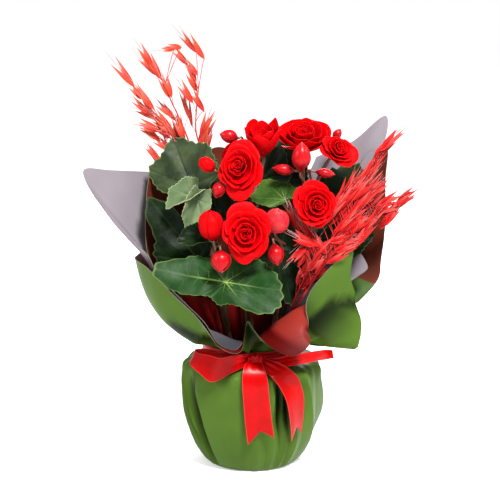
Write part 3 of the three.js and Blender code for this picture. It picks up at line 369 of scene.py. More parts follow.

# %% [markdown]
# The outer wrap is one sheet of film. It starts under the pot, hugs it with slanting gathers, is drawn in at
# the neck by the ribbon, and opens into the collar: a rounded left side that dips in front, a small upright
# pleat left of the bow, a low lobe that curls forward, and a tall flap at the right. It could be gathered by
# a simulation, but stiff film keeps the folds that it was given, so the folds are given one by one. Each
# column below gives its angle round the pot from the front, and three points above the neck, the last on the
# rim.

# %% The wrap's columns, angle from the front and three points out to the rim, in millimetres
OUTER_COLUMNS = [
    (-165, [[-10, 58, 147], [-17, 67, 166], [-23, 79, 196]]),
    (-152, [[-26, 52, 147], [-36, 62, 167], [-45, 73, 200]]),
    (-140, [[-40, 44, 147], [-53, 55, 168], [-66, 65, 204]]),
    (-128, [[-54, 35, 148], [-76, 43, 173], [-89, 50, 213]]),
    (-116, [[-66, 24, 150], [-97, 28, 178], [-109, 32, 220]]),
    (-106, [[-73, 13, 151], [-103, 13, 179], [-116, 14, 223]]),
    (-96, [[-78, 1, 152], [-107, -3, 180], [-120, -5, 224]]),
    (-82, [[-77, -14, 151], [-107, -27, 179], [-121, -30, 225]]),
    (-70, [[-71, -28, 147], [-96, -47, 169], [-107, -56, 221]]),
    (-60, [[-65, -37, 144], [-84, -59, 161], [-90, -71, 207]]),
    (-50, [[-57, -46, 141], [-71, -68, 154], [-74, -81, 193]]),
    (-41, [[-48, -53, 139], [-59, -74, 149], [-58, -89, 180]]),
    (-33, [[-40, -58, 140], [-47, -79, 158], [-47, -93, 167]]),
    (-25, [[-31, -62, 139], [-35, -83, 155], [-34, -99, 150]]),
    (-16, [[-18, -66, 137], [-19, -85, 148], [-18, -101, 143]]),
    (-11, [[-12, -65, 136], [-12, -80, 146], [-9, -94, 147]]),
    (-7, [[-8, -63, 136], [-7, -74, 150], [-5, -86, 172]]),
    (-3, [[-3, -64, 134], [-2, -76, 144], [1, -88, 165]]),
    (3, [[4, -63, 146], [8, -80, 151], [12, -94, 153]]),
    (11, [[12, -61, 154], [19, -80, 156], [28, -100, 144]]),
    (20, [[22, -59, 162], [31, -78, 163], [43, -102, 141]]),
    (29, [[32, -59, 169], [42, -75, 170], [58, -91, 150]]),
    (36, [[40, -57, 173], [48, -70, 179], [58, -82, 167]]),
    (42, [[46, -54, 171], [53, -65, 184], [55, -78, 186]]),
    (48, [[50, -49, 162], [59, -61, 181], [61, -74, 203]]),
    (54, [[52, -44, 150], [68, -60, 172], [79, -68, 224]]),
    (60, [[58, -42, 141], [77, -60, 167], [102, -56, 243]]),
    (66, [[61, -38, 139], [82, -57, 160], [101, -52, 212]]),
    (71, [[62, -34, 136], [84, -51, 150], [109, -48, 184]]),
    (76, [[62, -29, 133], [82, -45, 141], [113, -46, 158]]),
    (81, [[61, -23, 131], [78, -37, 133], [107, -45, 132]]),
    (92, [[61, -4, 133], [73, -8, 141], [90, 0, 158]]),
    (102, [[61, 7, 137], [74, 8, 150], [90, 16, 174]]),
    (112, [[59, 18, 141], [73, 24, 161], [88, 32, 190]]),
    (125, [[51, 31, 144], [65, 39, 164], [78, 49, 194]]),
    (138, [[41, 43, 146], [54, 53, 166], [65, 64, 198]]),
    (151, [[27, 51, 147], [37, 60, 166], [45, 72, 197]]),
    (165, [[12, 58, 147], [18, 67, 166], [23, 79, 196]]),
    (180, [[1, 60, 147], [0, 69, 166], [0, 81, 195]]),
]
NECK_LOW, NECK_HIGH = 117.5, 131.5
NECK_RADIUS = {"outer": 50.2, "grey_left": 48.3, "back": 46.6, "grey_right": 44.6}
print(len(OUTER_COLUMNS), "columns")

# %% [markdown]
# Below the neck the film lies in flat panels with a crisp crease between them, as stiff film does. Noise
# alone would make it look like soft cloth. So each crease runs up the wall: it has an angle round the pot and
# stands out from the round wall, or sinks into it, at each of five heights. A deep one between two proud ones
# is a narrow fold. The creases at the back are alike, so a loop makes them.

# %% Creases of the lower wall: angles, then how far it stands out, at each of the heights
CREASE_HEIGHTS = [0, 30, 60, 90, 112]
CREASES = [
    ([-90, -88, -90, -94, -98], [-2, -3, -3, -3, -2]), ([-76, -74, -81, -86, -90], [0.5, 1, 1.5, 1.5, 1]),
    ([-67, -66, -76, -82, -84], [-2, -4, -4, -3, -1]), ([-58, -58, -71, -79, -77], [0.5, 0.5, 0.5, 0.5, 1]),
    ([-51, -53, -66, -75, -70], [-3, -5, -6.5, -6, -2]), ([-48, -50, -63, -72, -66], [1, 1.2, 1.5, 1.5, 1.5]),
    ([-46, -48.5, -58, -66, -62], [-2, -4.5, -6, -5, -1.5]),
    ([-43, -45, -50, -58, -57], [-2, -5, -7, -6, -2]), ([-38, -41, -45, -52, -50], [0.8, 1.2, 1.6, 1.6, 0.6]),
    ([-24, -25, -26, -27, -26], [0, 0.3, 0.5, 0.4, -1]),
    ([-12, -13, -14, -14, -13], [0.3, 0.5, 0.5, 0.6, 1.5]),
    ([-1, -1, -2, -3, -3], [-1.2, -2, -0.6, -0.4, -2]),
    ([6, 5, 5, 5, 5], [1.2, 1.0, 0.3, 0.4, 0]), ([14, 13, 9, 9, 8], [-1.6, -2, 0.2, 0.3, 0]),
    ([20, 20, 17, 18, 14], [1.0, 1.2, 2, 2, 1.5]),
    ([27, 27, 23, 23, 21], [-2, -3, -7, -8, -3]), ([32, 32, 27, 27, 25], [1.2, 1.4, -3, -4, -1]),
    ([38, 38, 33, 31, 29], [-2, -3, -7, -8, -4]), ([44, 44, 39, 37, 35], [1.2, 1.4, 1, 1, 1]),
    ([52, 52, 50, 46, 41], [-1, -1.5, -3.5, -4, -2]), ([72, 70, 60, 53, 46], [1, 1.5, 2, 2.5, 1.5]),
    ([80, 80, 72, 66, 62], [-1, -3, -2, -1, -2]), ([92, 92, 91, 82, 76], [1, 1, 4, 1.5, 1]),
    ([104, 103, 103, 96, 90], [-2, -3, -2, -3, -2]),
]
BACK_CREASES = 14
BACK_FROM, BACK_TO = 116, 258
for k in range(BACK_CREASES):
    sway = [5 * math.sin(2.4 * k) * (height - 60) / 60 for height in CREASE_HEIGHTS]
    angle = BACK_FROM + (BACK_TO - BACK_FROM) * k / (BACK_CREASES - 1)
    proud = (1.5, -3.5)[k % 2]
    CREASES.append(([angle + s for s in sway], [share * proud for share in (0.4, 1, 1, 1, 0.7)]))
print(len(CREASES), "creases")


# %% [markdown]
# The grid's columns run between the creases, eight to a panel. In each column the curve passes the pot's
# profile, the two spots where the ribbon holds it, and the three points of the collar.

# %% Where a crease and a column are
WRAP_PROFILE = [(44, 0), (50, 4), (60, 20), (69, 46), (72, 70), (72.5, 92), (69, 109)]
OUTER_ROWS = [[Vector(column[1][row]) for column in OUTER_COLUMNS] for row in range(3)]
TURNS = [column[0] for column in OUTER_COLUMNS]


def round_pot(azimuth, radius, height):
    turn = math.radians(azimuth)
    return Vector((radius * math.sin(turn), -radius * math.cos(turn), height))


def crease_at(number, height):
    """Angle and stand-out of a crease at a height. Numbers past the last go round again."""
    angles, proud = CREASES[number % len(CREASES)]
    lower = sum(1 for h in CREASE_HEIGHTS[1:-1] if height >= h)
    step = CREASE_HEIGHTS[lower + 1] - CREASE_HEIGHTS[lower]
    t = (lower + ramp(height, CREASE_HEIGHTS[lower], step)) / (len(CREASE_HEIGHTS) - 1)
    return along(angles, t) + 360 * (number // len(CREASES)), along(proud, t)


def collar_turn(azimuth):
    """How far round the collar's columns, from 0 to 1, an angle is."""
    turns = [*TURNS, TURNS[0] + 360]
    azimuth = (azimuth - turns[0]) % 360 + turns[0]
    i = max(k for k in range(len(TURNS)) if turns[k] <= azimuth)
    return (i + (azimuth - turns[i]) / (turns[i + 1] - turns[i])) / len(TURNS)


def wrap_column(u):
    """What is the same all the way up one column: its two creases, its angle at the neck and its spots."""
    number, share = divmod(u * len(CREASES), 1)
    number = int(number)
    first, second = (crease_at(k, CREASE_HEIGHTS[-1])[0] for k in (number, number + 1))
    azimuth = first + (second - first) * share
    pot = [round_pot(azimuth, r + 1, z) for r, z in WRAP_PROFILE]
    neck = [round_pot(azimuth, NECK_RADIUS["outer"], z) for z in (NECK_LOW, NECK_HIGH)]
    collar = [along(row, collar_turn(azimuth), True) for row in OUTER_ROWS]
    return number, share, azimuth, pot + neck + collar


# %% [markdown]
# The ribbon draws the film into many small tucks. They begin a little below it and fan out above it. On the
# wall the film is partly flat between two creases and partly round like the pot, with fine crinkles all over.
# At the front of the collar the film lies in a few soft folds, and a painted shade darkens it below each; the
# last one has no depth and is only a painted shadow under the bow. Each has a point on its crease and the way
# that runs, in X and Z, how far its painted shade reaches below, from where to where along it, and its depth.

# %% Tucks and folds
# How many tucks there are, and heights and lengths in millimetres
TUCKS = 34
TUCKS_FROM = 92
CREASES_IN, CREASES_OUT = 10, 12
ROUNDNESS = 0.55
# Shares of the way from the pot's foot to the rim
COLLAR_FROM, FAN_FROM, FAN_LENGTH = 0.73, 0.74, 0.08
COLLAR_FOLDS = [
    ((57, 168), (0.712, 0.702), 31, (-12, 38), 2.5), ((80, 190), (1.0, 0.01), 17, (-8, 44), 2.5),
    ((-72, 166), (0.952, -0.306), 20, (-16, 46), 1.5), ((-7, 178), (0.6, -0.8), 30, (-6, 48), 0),
    ((24, 160), (0.9, -0.436), 26, (-14, 34), 0), ((-50, 119.5), (1.0, 0.0), 9, (0, 54), 0),
]


def tucks(azimuth):
    turn = math.radians(azimuth)
    return math.cos(TUCKS * turn + 2.2 * math.sin(3 * turn) + 1.3 * math.sin(7 * turn))


def collar_folds(place):
    """How much painted shade the film gets under the folds at the front of the collar and under the bow, and
    how far it is sunk there.
    """
    dark, sunk = 0, 0
    if place.y > 0:
        return dark, sunk
    for (x, z), (run, rise), reach, (start, end), depth in COLLAR_FOLDS:
        ahead = (place.x - x) * run + (place.z - z) * rise
        below = (place.x - x) * rise - (place.z - z) * run
        shade = ramp(below, -2.5, 6) * math.exp(-abs(below / reach) ** 3)
        shade *= ramp(ahead, start, 8) * ramp(end - ahead, 0, 8)
        dark, sunk = max(dark, shade), max(sunk, depth * shade)
    return dark, sunk


def wall_point(number, share, spot):
    """A point of the wall between two creases, with a painted shade that is darkest at the bottom of a deep
    fold.
    """
    radius, height = math.hypot(spot.x, spot.y), spot.z
    shown = ramp(height, 0, CREASES_IN) * ramp(NECK_LOW - height, 0, CREASES_OUT)
    (near, out), (far, far_out) = crease_at(number, height), crease_at(number + 1, height)
    angle = near + (far - near) * share
    proud = out + (far_out - out) * share
    first = round_pot(near, radius + shown * out, height)
    second = round_pot(far, radius + shown * far_out, height)
    flat_wall = first.lerp(second, share)
    round_wall = round_pot(angle, radius + shown * proud, height)
    tucked = 1.3 * tucks(angle) * ramp(height, TUCKS_FROM, 14) * shown
    crinkle = shown * (0.5 * ripple(flat_wall, 23) + 0.25 * ripple(flat_wall, 8, 1))
    # Painted shade, strongest where the wall sinks deepest between its creases
    dark = ramp(-proud, 1.5, 5) ** 1.5 * shown
    return flat_wall.lerp(round_wall, ROUNDNESS) + round_pot(angle, tucked + crinkle, 0), dark


def collar_point(azimuth, spot, v):
    fan = 0.9 * tucks(azimuth) * math.exp(-(v - FAN_FROM) / FAN_LENGTH)
    dark, sunk = collar_folds(spot)
    out = round_pot(azimuth, 1, 0.6) * ramp(v, COLLAR_FROM, FAN_LENGTH)
    return spot + out * (fan + 0.7 * ripple(spot, 26, 2) - sunk), dark


# %% Outer wrap
FILM_THICK = 0.6
PANEL_GRID = 8
WALL_GRID = 92
columns_done = {}
# How much painted shade each point of the wrap gets from its folds
painted_fold_shades = []


def wrap_place(u, v):
    """The point of the film at (u, v). The painted shade of its fold there is kept for the finish."""
    if u not in columns_done:
        columns_done[u] = wrap_column(u)
    number, share, azimuth, spots = columns_done[u]
    spot = along(spots, v)
    if v < len(WRAP_PROFILE) / (len(spots) - 1):
        point, dark = wall_point(number, share, spot)
    else:
        point, dark = collar_point(azimuth, spot, v)
    painted_fold_shades.append(dark)
    return point


def close_bottom(wall):
    """Draws the lowest edge of the film together under the pot."""
    activate(wall)
    bpy.ops.object.mode_set(mode="EDIT")
    bpy.ops.mesh.select_all(action="DESELECT")
    bpy.ops.object.mode_set(mode="OBJECT")
    for vertex in wall.data.vertices:
        vertex.select = vertex.co.z < 1e-6
    bpy.ops.object.mode_set(mode="EDIT")
    bpy.ops.mesh.select_mode(type="VERT")
    bpy.ops.mesh.extrude_region_move()
    bpy.ops.transform.resize(value=(0.05, 0.05, 1))
    bpy.ops.mesh.merge(type="CENTER")
    bpy.ops.object.mode_set(mode="OBJECT")
    weld(wall, 0.01)


wrap = grid_sheet("outer_wrap", PANEL_GRID * len(CREASES), WALL_GRID, wrap_place)
# The painted fold shade is kept on the points for the finish
wrap.data.attributes.new("fold", "FLOAT", "POINT").data.foreach_set("value", painted_fold_shades)
close_bottom(wrap)
finish_sheet(wrap, FILM_THICK, (film_green, film_brick, film_edge), 60)
dress(wrap, "two_tone_film", "outer_wrap")

# %% [markdown]
# The inner sheets stand between the wrap and the plant. A long pearl grey one runs along the left side, with
# its corner far out at the upper left, and follows the wrap's rim round the front. Behind the plant stands a
# second two-tone sheet with its brick face forward, and at the right a grey one rises to a tall corner. They
# are made like the collar of the wrap, without creases, because their lower part is hidden.

# %% The inner sheets' columns
GREY_LEFT_COLUMNS = [
    (-122, [[-84, 30, 180], [-92, 34, 240], [-100, 36, 305]]),
    (-108, [[-93, 16, 180], [-104, 18, 235], [-125, 18, 309]]),
    (-98, [[-98, 3, 180], [-110, 4, 230], [-150, 6, 312]]),
    (-90, [[-100, -9, 178], [-112, -8, 228], [-173, -10, 316]]),
    (-85, [[-100, -16, 176], [-113, -15, 226], [-172, -16, 304]]),
    (-80, [[-98, -23, 174], [-110, -22, 224], [-155, -24, 278]]),
    (-74, [[-94, -32, 170], [-106, -31, 217], [-134, -32, 252]]),
    (-68, [[-87, -40, 166], [-100, -42, 206], [-110, -39, 234]]),
    (-61, [[-79, -48, 161], [-91, -55, 192], [-99, -55, 219]]),
    (-53, [[-70, -56, 157], [-78, -66, 179], [-83, -70, 203]]),
    (-45, [[-60, -63, 152], [-64, -74, 170], [-67, -79, 189]]),
    (-36, [[-49, -68, 153], [-49, -80, 165], [-48, -89, 172]]),
    (-26, [[-36, -72, 152], [-35, -84, 160], [-34.5, -98, 153]]),
    (-16, [[-20, -73, 147], [-19, -85, 153], [-18, -99.5, 146]]),
    (-10, [[-11, -69, 144], [-11, -79, 150], [-9.5, -90, 151]]),
]
BACK_RIGHT_COLUMNS = [
    (76, [[72, -10, 155], [92, -8, 165], [112, -6, 173]]),
    (83, [[80, -3, 167], [104, 2, 182], [133, 8, 193]]),
    (90, [[84, 4, 174], [112, 10, 198], [137, 12, 215]]),
    (100, [[82, 14, 178], [112, 22, 215], [142, 24, 251]]),
    (112, [[76, 26, 180], [104, 40, 235], [143, 50, 290]]),
    (124, [[68, 38, 182], [94, 56, 245], [144, 80, 331]]),
    (140, [[52, 48, 184], [74, 64, 250], [96, 78, 306]]),
    (160, [[26, 58, 184], [38, 69, 250], [50, 78, 302]]),
]
BACK_COLUMNS = [
    (-176, [[-4, 60, 184], [-4, 70, 250], [-8, 76, 318]]),
    (-155, [[-30, 54, 182], [-34, 62, 250], [-42, 68, 326]]),
    (-135, [[-60, 40, 180], [-66, 47, 245], [-72, 50, 300]]),
    (-115, [[-74, 21, 178], [-87, 27, 240], [-92, 30, 303]]),
    (-100, [[-83, 6, 177], [-99, 8, 235], [-106, 10, 309]]),
    (-92, [[-86, -5, 175], [-103, -5, 225], [-110, -4, 285]]),
    (-84, [[-85, -14, 173], [-103, -17, 210], [-111, -20, 243]]),
    (-76, [[-82, -23, 170], [-98, -28, 198], [-104, -34, 219]]),
    (-66, [[-74, -35, 165], [-85, -44, 186], [-90, -50, 208]]),
    (-54, [[-65, -48, 156], [-69, -57, 175], [-73, -64, 194]]),
]
GREY_RIGHT_COLUMNS = [
    (66, [[68, -26, 158], [88, -26, 184], [103, -24, 203]]),
    (72, [[72, -19, 164], [94, -20, 194], [121, -20, 213]]),
    (79, [[75, -10, 170], [97, -12, 205], [110, -16, 232]]),
    (88, [[77, 0, 174], [98, 0, 204], [108, 0, 222]]),
    (98, [[74, 11, 178], [93, 15, 212], [104, 18, 236]]),
    (108, [[69, 20, 182], [89, 30, 232], [108, 38, 280]]),
    (115, [[64, 26, 184], [87, 35, 252], [121, 52, 320]]),
    (121, [[60, 31, 186], [84, 40, 256], [141, 62, 328]]),
    (127, [[55, 36, 187], [81, 46, 260], [144, 68, 361]]),
    (138, [[45, 41, 188], [68, 53, 262], [108, 71, 332]]),
    (152, [[28, 48, 188], [44, 59, 258], [70, 70, 316]]),
]
print(len(GREY_LEFT_COLUMNS + BACK_RIGHT_COLUMNS + BACK_COLUMNS + GREY_RIGHT_COLUMNS), "columns")


# %% Inner sheets
SHEET_THICK = 0.5
FREE_FROM = 0.3


def inner_sheet(name, columns, radius, materials):
    """A sheet held under the ribbon at a radius. From there it goes up its columns."""
    lift = NECK_HIGH + NECK_RADIUS["outer"] - radius
    rows = [
        [round_pot(azimuth, radius, NECK_LOW - 1) for azimuth, _ in columns],
        [round_pot(azimuth, radius, lift) for azimuth, _ in columns],
        *[[Vector(out[row]) for _, out in columns] for row in range(3)],
    ]

    def place(u, v):
        point = along([along(row, u) for row in rows], v)
        outwards = Vector((point.x, point.y, 0)).normalized()
        crinkle = 0.9 * ripple(point, 30, 4) + 0.35 * ripple(point, 11, 5) - 0.3
        return point + outwards * ramp(v, FREE_FROM, 0.3) * crinkle

    return finish_sheet(grid_sheet(name, 6 * len(columns), 40, place), SHEET_THICK, materials, 60)


grey_left = inner_sheet("grey_sheet_left", GREY_LEFT_COLUMNS, NECK_RADIUS["grey_left"],
                        (pearl_dark, pearl_light, film_edge))
dress(grey_left, "grey_film", "grey_sheet_left")
back_sheet = inner_sheet("back_sheet", BACK_RIGHT_COLUMNS + BACK_COLUMNS, NECK_RADIUS["back"],
                         (film_green, film_brown, film_edge))
dress(back_sheet, "two_tone_film", "back_sheet")
grey_right = inner_sheet("grey_sheet_right", GREY_RIGHT_COLUMNS, NECK_RADIUS["grey_right"],
                         (pearl_dark, pearl_light, film_edge))
dress(grey_right, "grey_film", "grey_sheet_right")

# %% [markdown]
# Satin ribbon is woven smooth on its face, so it shines in one broad soft band across each bend. A fine
# weave runs along it, and its two edges are a little thicker and paler. Threads this fine are too small to
# model, so a wave texture bumps them up.

# %% Satin
SATIN_THICK = 0.5
WEAVE = 260


def satin():
    finish = Finish("satin", 0.28, Specular_IOR_Level=0.08, Anisotropic=0.5)
    across = finish.split(finish.place(uv=True))[0]
    from_middle = finish.calc("ABSOLUTE", finish.calc("SUBTRACT", across, 0.5))
    edge = finish.span(from_middle, 0.465, 0.49)
    base = finish.mix(finish.span(finish.noise(12, 3), 0.3, 0.7), paint(200, 0, 0), paint(218, 0, 4))
    finish.set("Base Color", finish.mix(edge, base, paint(235, 60, 60)))
    woven = finish.place((0, WEAVE, 0), uv=True)
    threads = finish.node("TexWave", {"Scale": 1.0, "Vector": woven}).outputs["Fac"]
    finish.bump(edge, 0.4, 0.25, finish.bump(threads, 0.1, 0.1))
    return finish.material


satin_red = satin()
print("satin is woven")

# %% [markdown]
# The bow is one length of ribbon: a band round the neck, a knot, two loops and two tails cut to swallowtails.
# A curve with a flat profile could make them, but a strip needs its own width and twist at each place. So it
# is given by its centre line: where it is, which way its width points and how wide it shows. Creases run
# along it where it is drawn into the knot, so the strip is also rippled across near that end.

# %% Ribbon strips
# The depth of the notch in millimetres, and where it and the drawn part are, as shares of the length
NOTCH = 12
NOTCH_FROM = 0.84
DRAWN_PART = 0.3
LEFT_LOOP = [
    ((2, -57, 124.5), (0, 0.1, 1), 10), ((-5, -60, 125), (0, 0.1, 1), 12),
    ((-21, -67, 122), (0.1, 0.1, 1), 19), ((-36, -73, 118), (0.33, 0.05, 0.94), 27),
    ((-49, -67, 122.5), (0.46, 0, 0.89), 22), ((-60, -57, 126), (0.6, 0, 0.8), 15),
    ((-60, -49, 128), (0.3, 0, 0.95), 12), ((-46, -53, 129), (0.1, 0, 1), 12),
    ((-26, -57.5, 127), (0, 0, 1), 10), ((2, -57, 124.5), (0, 0, 1), 9),
]
RIGHT_LOOP = [
    ((6, -57, 124.5), (0, 0.2, 1), 9), ((21, -62, 122), (0, 0.4, 0.9), 11),
    ((40, -62, 125), (0, 0.6, 0.8), 12), ((61, -52, 126), (0, 0.6, 0.8), 12),
    ((76, -43, 126.5), (0, 0.5, 0.85), 10), ((84, -36, 124.5), (0, 0.3, 0.95), 8),
    ((75, -35, 122.5), (0, 0, 1), 9), ((56, -42, 122), (0, 0, 1), 9),
    ((36, -52, 123), (0, 0, 1), 9), ((8, -56, 124.5), (0, 0, 1), 9),
]
MIDDLE_TAIL = [
    ((3, -59, 125), (1, 0, 0), 12), ((2, -70, 121), (1, 0, 0), 20), ((3, -78, 109), (1, 0, 0), 26),
    ((4.5, -79.5, 89), (1, 0, 0), 27), ((6.5, -79, 67), (1, 0, 0.1), 27.5),
    ((9.3, -76, 43), (0.97, 0, 0.25), 28),
]
RIGHT_TAIL = [
    ((7, -59, 125), (1, 0, 0.4), 10), ((20, -67, 120), (0.95, 0.05, 0.35), 20),
    ((32, -72, 112), (0.97, 0.15, 0.1), 25), ((39.5, -70, 100), (0.85, 0.5, 0), 26),
    ((44.5, -68, 84), (0.74, 0.67, 0), 25), ((46, -66.5, 64), (0.62, 0.78, 0), 24),
    ((46, -65, 44), (0.5, 0.86, 0.1), 23),
]


def ribbon_strip(name, stations, forked=False, creases=(1.0, 1.0)):
    """creases says how deep the drawn-in folds are at the first and the last station, in mm."""
    centres, ways = (vectors(station[k] for station in stations) for k in (0, 1))
    widths = [width for _, _, width in stations]

    def place(u, v):
        across = along(ways, v).normalized()
        ahead = (along(centres, min(v + 0.01, 1)) - along(centres, max(v - 0.01, 0))).normalized()
        face = across.cross(ahead).normalized()
        drawn = creases[0] * max(0, 1 - v / DRAWN_PART) ** 1.5
        drawn += creases[1] * max(0, 1 - (1 - v) / DRAWN_PART) ** 1.5
        fold = drawn * math.cos(5 * math.pi * (u - 0.5) + 0.7) + 0.5 * math.sin(math.pi * (u - 0.5))
        point = along(centres, v) + across * along(widths, v) * (u - 0.5) + face * fold
        point += face * 0.6 * ripple(point, 16, 9)
        if forked:
            end = max(0, (v - NOTCH_FROM) / (1 - NOTCH_FROM))
            point.z += end ** 1.5 * NOTCH * (1 - abs(2 * u - 1))
        return point

    return finish_sheet(grid_sheet(name, 20, 10 * len(stations), place), SATIN_THICK, [satin_red])


# %% Knot and band
BAND_WIDTH = 12.5
KNOT = Vector((3.5, -58.5, 123.6))


def ribbon_band():
    """The band round the neck, drawn into long soft tucks."""
    middle = (NECK_LOW + NECK_HIGH) / 2

    def place(u, v):
        azimuth = 360 * u
        tuck = 0.35 * math.cos(v * 5 * math.pi + 1.2 * math.sin(3 * math.radians(azimuth)))
        return round_pot(-azimuth, NECK_RADIUS["outer"] + 1.6 + tuck, middle + BAND_WIDTH * (v - 0.5))

    band = grid_sheet("ribbon_band", 120, 10, place)
    weld(band)
    return finish_sheet(band, SATIN_THICK, [satin_red])


def ribbon_knot():
    """The wrap of ribbon over the middle of the bow: a short barrel with folds that run over it."""
    def place(u, v):
        turn = 2 * math.pi * u
        side = 2 * v - 1
        bulge = math.sqrt(max(1 - 0.55 * side * side, 0.02)) * (1 + 0.1 * math.cos(7 * math.pi * v))
        return KNOT + Vector((7.6 * side, 6.8 * bulge * math.cos(turn), 8.2 * bulge * math.sin(turn)))

    knot = grid_sheet("ribbon_knot", 36, 24, place)
    weld(knot)
    return finish_sheet(knot, SATIN_THICK, [satin_red])


bow = join("ribbon", [
    ribbon_band(),
    ribbon_knot(),
    ribbon_strip("left_loop", LEFT_LOOP),
    ribbon_strip("right_loop", RIGHT_LOOP),
    ribbon_strip("middle_tail", MIDDLE_TAIL, True, (1.6, 0)),
    ribbon_strip("right_tail", RIGHT_TAIL, True, (1.6, 0)),
])
smooth(bow, 60)
dress(bow, "satin_ribbon", "ribbon")

# %% [markdown]
# A begonia leaf is lopsided and heart shaped, with a toothed and waved edge. Its main veins spread like
# fingers from the top of the stalk, with side veins leaving them at a slant, and between the veins the blade
# is puffed up a little. The veins are drawn by the leaf's own flat coordinates: the first runs round the leaf
# and the second from its stalk outwards, so a vein is where the first is close to a whole number of eighths.
# Each leaf has its own look: the big ones at the left are dull grey green with dark veins, the front one is
# fresh green with pale veins that shine, the folded ones near the middle are young and pale, and the others
# are a dark green, darkened further as painted shade.

# %% Leaf finishes
MAIN_VEINS = 8
SIDE_VEINS = 7.0


def leaf_finish(name, blade, shade, vein, edge, gloss=0.4, reach=(1.0, 0.25)):
    """reach says how clear the veins are at the stalk and at the rim."""
    finish = Finish(name, gloss, Specular_IOR_Level=0.05)
    calc = finish.calc
    round_leaf, outwards = finish.split(finish.place(uv=True))[:2]
    finger = calc("FRACT", calc("MULTIPLY_ADD", round_leaf, MAIN_VEINS, 0.5))
    off_vein = calc("MULTIPLY", calc("ABSOLUTE", calc("SUBTRACT", finger, 0.5)), outwards)
    main = finish.span(off_vein, 0.006, 0.026, 1, 0)
    side_count = calc("MULTIPLY_ADD", off_vein, -SIDE_VEINS, calc("MULTIPLY", outwards, SIDE_VEINS))
    side = finish.span(calc("ABSOLUTE", calc("SUBTRACT", calc("FRACT", side_count), 0.5)), 0.02, 0.1, 0.4, 0)
    veins = calc("MAXIMUM", main, side)
    patches = finish.span(finish.noise(17, 3, distortion=0.3), 0.32, 0.7)
    base = finish.mix(patches, paint(*shade), paint(*blade))
    strength = calc("MULTIPLY", veins, finish.span(outwards, 0.0, 0.6, *reach))
    veined = finish.mix(strength, base, paint(*vein))
    finish.set("Base Color", finish.mix(finish.span(outwards, 0.96, 1.0), veined, paint(*edge)))
    finish.bump(finish.noise(5, 4), 0.25, 1.2, finish.bump(veins, -0.4, 0.9))
    return finish.material


def stalk_finish(name, first, second):
    finish = Finish(name, 0.45)
    finish.set("Base Color", finish.mix(finish.span(finish.noise(8, 3), 0.35, 0.65), first, second))
    finish.bump(finish.noise(1.2, 3), 0.3, 0.3)
    return finish.material


# The first finish is a dark green, darkened further as painted shade for the leaves within the bunch
leaf_dark_shaded = leaf_finish("leaf_dark_shaded", (26, 46, 22), (10, 22, 8), (60, 84, 48), (64, 80, 40))
leaf_grey = leaf_finish("leaf_grey", (70, 84, 54), (42, 56, 34), (22, 32, 16), (108, 122, 66),
                        reach=(1.0, 0.5))
leaf_fresh = leaf_finish("leaf_fresh", (80, 114, 42), (48, 80, 26), (132, 164, 82), (112, 140, 62))
leaf_front = leaf_finish("leaf_front", (54, 84, 48), (26, 66, 20), (164, 200, 100), (104, 130, 66),
                         gloss=0.42, reach=(1.0, 0.06))
leaf_young = leaf_finish("leaf_young", (150, 170, 124), (112, 140, 96), (186, 200, 160), (170, 186, 140))
leaf_back = leaf_finish("leaf_back", (96, 112, 70), (78, 92, 56), (140, 146, 96), (110, 90, 60))
stalk_green = stalk_finish("stalk_green", paint(120, 92, 58), paint(92, 118, 58))
stalk_red = stalk_finish("stalk_red", paint(150, 56, 44), paint(126, 92, 54))
print("leaves and stalks have their finishes")

# %% [markdown]
# Stalks and stems are round and taper towards their ends, with swollen joints on the thick ones. They could
# be stretched cylinders, but a curve bends more easily: it goes through a few points, is given its thickness
# point by point and is then made a mesh.

# %% Stalks
def tube(name, points, start, end, material, sides=3, knuckles=0.0):
    """A tapering stalk through the points. sides is the curve's own bevel resolution."""
    curve = bpy.data.curves.new(name, "CURVE")
    curve.dimensions = "3D"
    curve.bevel_depth = MM
    curve.bevel_resolution = sides
    curve.use_fill_caps = True
    spline = curve.splines.new("POLY")
    count = 7 * len(points)
    route = vectors(points)
    spline.points.add(count - 1)
    for i, point in enumerate(spline.points):
        t = i / (count - 1)
        point.co = (*(along(route, t) * MM), 1)
        point.radius = start + (end - start) * t
        point.radius *= 1 + knuckles * math.exp(-((t * 5 % 1 - 0.5) / 0.12) ** 2)
    thing = bpy.data.objects.new(name, curve)
    bpy.context.collection.objects.link(thing)
    activate(thing)
    bpy.ops.object.convert(target="MESH")
    thing = bpy.context.active_object
    thing.data.materials.clear()
    thing.data.materials.append(material)
    for face in thing.data.polygons:
        face.use_smooth = True
    return thing


def stand(place, axis, side=(1, 0, 0.01)):
    """Local +Z along the axis and local +X as near to side as it can be, at a place in millimetres."""
    z = Vector(axis).normalized()
    y = z.cross(Vector(side)).normalized()
    x = y.cross(z)
    matrix = Matrix((x, y, z)).transposed().to_4x4()
    matrix.translation = Vector(place)
    return matrix


# %% Leaf blades
HEART = (1, 0.86, 0.74, 0.66, 0.14, 0.62, 0.7, 0.84)
TEETH = 34
LEAF_THICK = 0.7
STALK_FOOT, STALK_TOP = 1.9, 1.3


